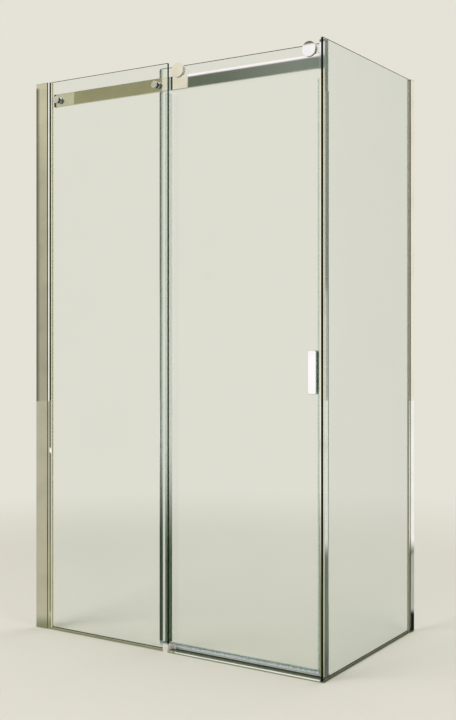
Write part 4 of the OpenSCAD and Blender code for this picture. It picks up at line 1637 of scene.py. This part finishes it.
    def world(self) -> None:
        """Writes the world: a pale backdrop for the eye, soft light for surfaces and a room for mirrors."""
        world = bpy.data.worlds.new("studio")
        bpy.context.scene.world = world
        bench = NodeBench(world, "OutputWorld")
        across, depth, up = bench.parts(bench.add("TexCoord").outputs["Generated"])
        left, ahead = bench.shifted(across, -1), bench.shifted(depth, -1)
        azimuth = bench.azimuth(left, ahead)
        slope = bench.calc("DIVIDE", up, bench.reach(across, depth))
        room = self.belts(bench, slope, azimuth, self.room_belts())
        front = self.belts(bench, bench.calc("DIVIDE", up, ahead), azimuth, self.front_belts())
        before = bench.remap(azimuth, *self.front_end, 1, 0)
        beside = bench.remap(azimuth, *self.front_start)
        mirrored = bench.mix(bench.calc("MULTIPLY", before, beside), room, front)
        plain = bench.mix(bench.path("Is Diffuse Ray"), self.backdrop, self.ambient)
        mirrored = self.off_glass(bench, mirrored, bench.remap(up, *self.steep, 1, 0))
        shown = bench.mix(bench.remap(bench.path("Glossy Depth"), 0, 1), plain, mirrored)
        background = bench.add("Background", (("Color", shown),)).outputs["Background"]
        bench.feed(bench.output.inputs["Surface"], background)

    def off_glass(self, bench: NodeBench, mirrored: Socket, level: Socket | float = 1.0) -> Socket:
        """Gives the mirrored colour, with the room left out where a smooth pane mirrors it.

        Args:
            bench: The bench of the world or the floor.
            mirrored: What polished metal shows.
            level: 0 for the steep directions that no pane mirrors, and 1 for the others.

        Returns:
            The colour.
        """
        second_face = bench.remap(bench.path("Transmission Depth"), *self.second_face, 1, 0)
        bounced = bench.calc("MAXIMUM", bench.path("Is Reflection Ray"), second_face)
        pane = bench.calc("MULTIPLY", bench.path("Is Singular Ray"), bounced)
        return bench.mix(bench.calc("MULTIPLY", pane, level), mirrored, self.glass_glow)

    def belts(self, bench: NodeBench, slope: Socket, azimuth: Socket, belts: Sequence[Belt]) -> Socket:
        """Stacks belts of sectors by slope.

        Args:
            bench: The world's bench.
            slope: How steeply a direction climbs.
            azimuth: Its azimuth in degrees from the front towards the left.
            belts: The belts from the lowest up.

        Returns:
            The colour in that direction.
        """
        colour = self.sectors(bench, azimuth, belts[0])
        for belt in belts[1:]:
            over = bench.remap(slope, belt.start - belt.soft, belt.start + belt.soft)
            colour = bench.mix(over, colour, self.sectors(bench, azimuth, belt))
        return colour

    def sectors(self, bench: NodeBench, azimuth: Socket, belt: Belt) -> Colour | Socket:
        """Lays a belt's sectors side by side.

        Args:
            bench: The world's bench.
            azimuth: A direction's azimuth in degrees from the front towards the left.
            belt: The belt.

        Returns:
            The colour of the sector that the direction lies in.
        """
        colour: Colour | Socket = belt.sectors[0].colour
        for sector in belt.sectors[1:]:
            half = 0.5 * sector.soft
            inside = bench.remap(azimuth, sector.start - half, sector.start + half)
            colour = bench.mix(inside, colour, sector.colour)
        return colour

    def floor(self) -> None:
        """Makes the floor: pale and lit near the enclosure, and one with the backdrop further out."""
        data = bpy.data.meshes.new("studio_floor")
        mesh = bmesh.new()
        bmesh.ops.create_circle(mesh, cap_ends=True, segments=SEGMENTS, radius=self.floor_radius)
        mesh.to_mesh(data)
        mesh.free()
        floor = bpy.data.objects.new("studio_floor", data)
        floor.location.z = -self.floor_gap
        bpy.context.scene.collection.objects.link(floor)
        material = bpy.data.materials.new("studio_floor")
        material.cycles.emission_sampling = "NONE"
        bench = NodeBench(material)
        grain = bench.remap(bench.noise(self.floor_grain, 3), 0.3, 0.7)
        colour = bench.mix(grain, self.floor_colour, tuple(0.98 * value for value in self.floor_colour))
        lit = bench.add("BsdfDiffuse", (("Color", colour),)).outputs["BSDF"]
        across, depth, _ = bench.parts(bench.place)
        distance = bench.reach(across, depth)
        seen = bench.mix_shader(bench.remap(distance, *self.fade), lit, bench.glow(self.backdrop))
        mirrored = bench.glow(self.off_glass(bench, self.mirrored_floor(bench, across, depth, distance)))
        deep = bench.remap(bench.path("Glossy Depth"), 0, 1)
        bench.feed(bench.output.inputs["Surface"], bench.mix_shader(deep, seen, mirrored))
        data.materials.append(material)

    def mirrored_floor(self, bench: NodeBench, across: Socket, depth: Socket, distance: Socket) -> Socket:
        """Gives the floor's colour in polished metal: dark near by, pale further out, beige to the left.

        Args:
            bench: The floor's bench.
            across: Place on the floor along X.
            depth: Place on it along Y.
            distance: Distance from the middle of the enclosure.

        Returns:
            The colour.
        """
        turn, off_wall = bench.bearing(across, depth, self.wall_place)
        bearing, off_post = bench.bearing(across, depth, self.post_place)
        back = bench.remap(bearing, *self.back_turn, 1, 0)
        far = bench.mix(bench.remap(turn, *self.right_turn, 1, 0), srgb(122, 130, 116), srgb(250, 250, 246))
        far = bench.mix(back, far, srgb(64, 84, 62))
        near = bench.mix(bench.remap(across, *self.pane_shade), srgb(136, 140, 106), srgb(24, 28, 22))
        near = bench.mix(bench.remap(across, *self.pane_fade), near, srgb(78, 88, 68))
        behind = bench.calc("MULTIPLY", back, bench.remap(depth, *self.back_fade))
        near = bench.mix(behind, near, srgb(178, 182, 168))
        open_floor = bench.mix(bench.remap(distance, *self.far_fade), near, far)
        line = bench.mix(bench.remap(off_post, *self.line_fade), srgb(200, 198, 174), srgb(250, 248, 234))
        open_floor = bench.mix(bench.within(bearing, *self.line_turn, 0.02), open_floor, line)
        wall, past = bench.remap(turn, *self.wall_turn), bench.remap(off_wall, *self.wall_fade)
        return bench.mix(bench.calc("MULTIPLY", wall, past), open_floor, srgb(186, 182, 159))

    def lamp(self, name: str, place: Vector, size: float, power: float) -> None:
        """Makes a soft square lamp that points at the middle of the enclosure.

        Args:
            name: Its name.
            place: Where it stands.
            size: Width and height.
            power: Its power in watts.
        """
        data = bpy.data.lights.new(name, "AREA")
        data.size = size
        data.energy = power
        lamp = bpy.data.objects.new(name, data)
        lamp.location = place
        lamp.rotation_euler = (Vector((0, 0, self.lamp_aim)) - place).to_track_quat("-Z", "Y").to_euler()
        lamp.visible_camera = lamp.visible_glossy = lamp.visible_transmission = False
        bpy.context.scene.collection.objects.link(lamp)


@dataclass
class ViewPoint:
    """The photograph's camera: level, turned to the left, with the frame shifted a little."""

    place: tuple[float, float, float] = (2.1415, -3.309, 1.083)
    turn: float = 32.69
    lens: float = 53.82
    sensor: float = 36
    shift: float = -0.0375

    def build(self) -> None:
        """Makes the camera and gives it to the scene."""
        data = bpy.data.cameras.new("camera")
        data.lens = self.lens
        data.sensor_width = self.sensor
        data.shift_y = self.shift
        camera = bpy.data.objects.new("camera", data)
        camera.location = self.place
        camera.rotation_euler = (math.pi / 2, 0, math.radians(self.turn))
        bpy.context.scene.collection.objects.link(camera)
        bpy.context.scene.camera = camera


def main() -> None:
    """Builds the enclosure and the studio round it."""
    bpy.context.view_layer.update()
    book = FinishBook()
    groups: list[Assembly] = [
        WallJoint("frame", book, Side.LEFT), WallJoint("frame", book, Side.FLANK), FixedScreen("frame", book),
        SlideRail("frame", book), CornerPost("frame", book), Threshold("frame", book),
        SlidingDoor("door", book), Hanger("door", book), PullHandle("door", book),
        Roller("left_wheel", book, Side.LEFT), Roller("right_wheel", book, Side.RIGHT)]
    for group in groups:
        group.build()
    ViewPoint().build()
    Studio().build()


if __name__ == "__main__":
    main()
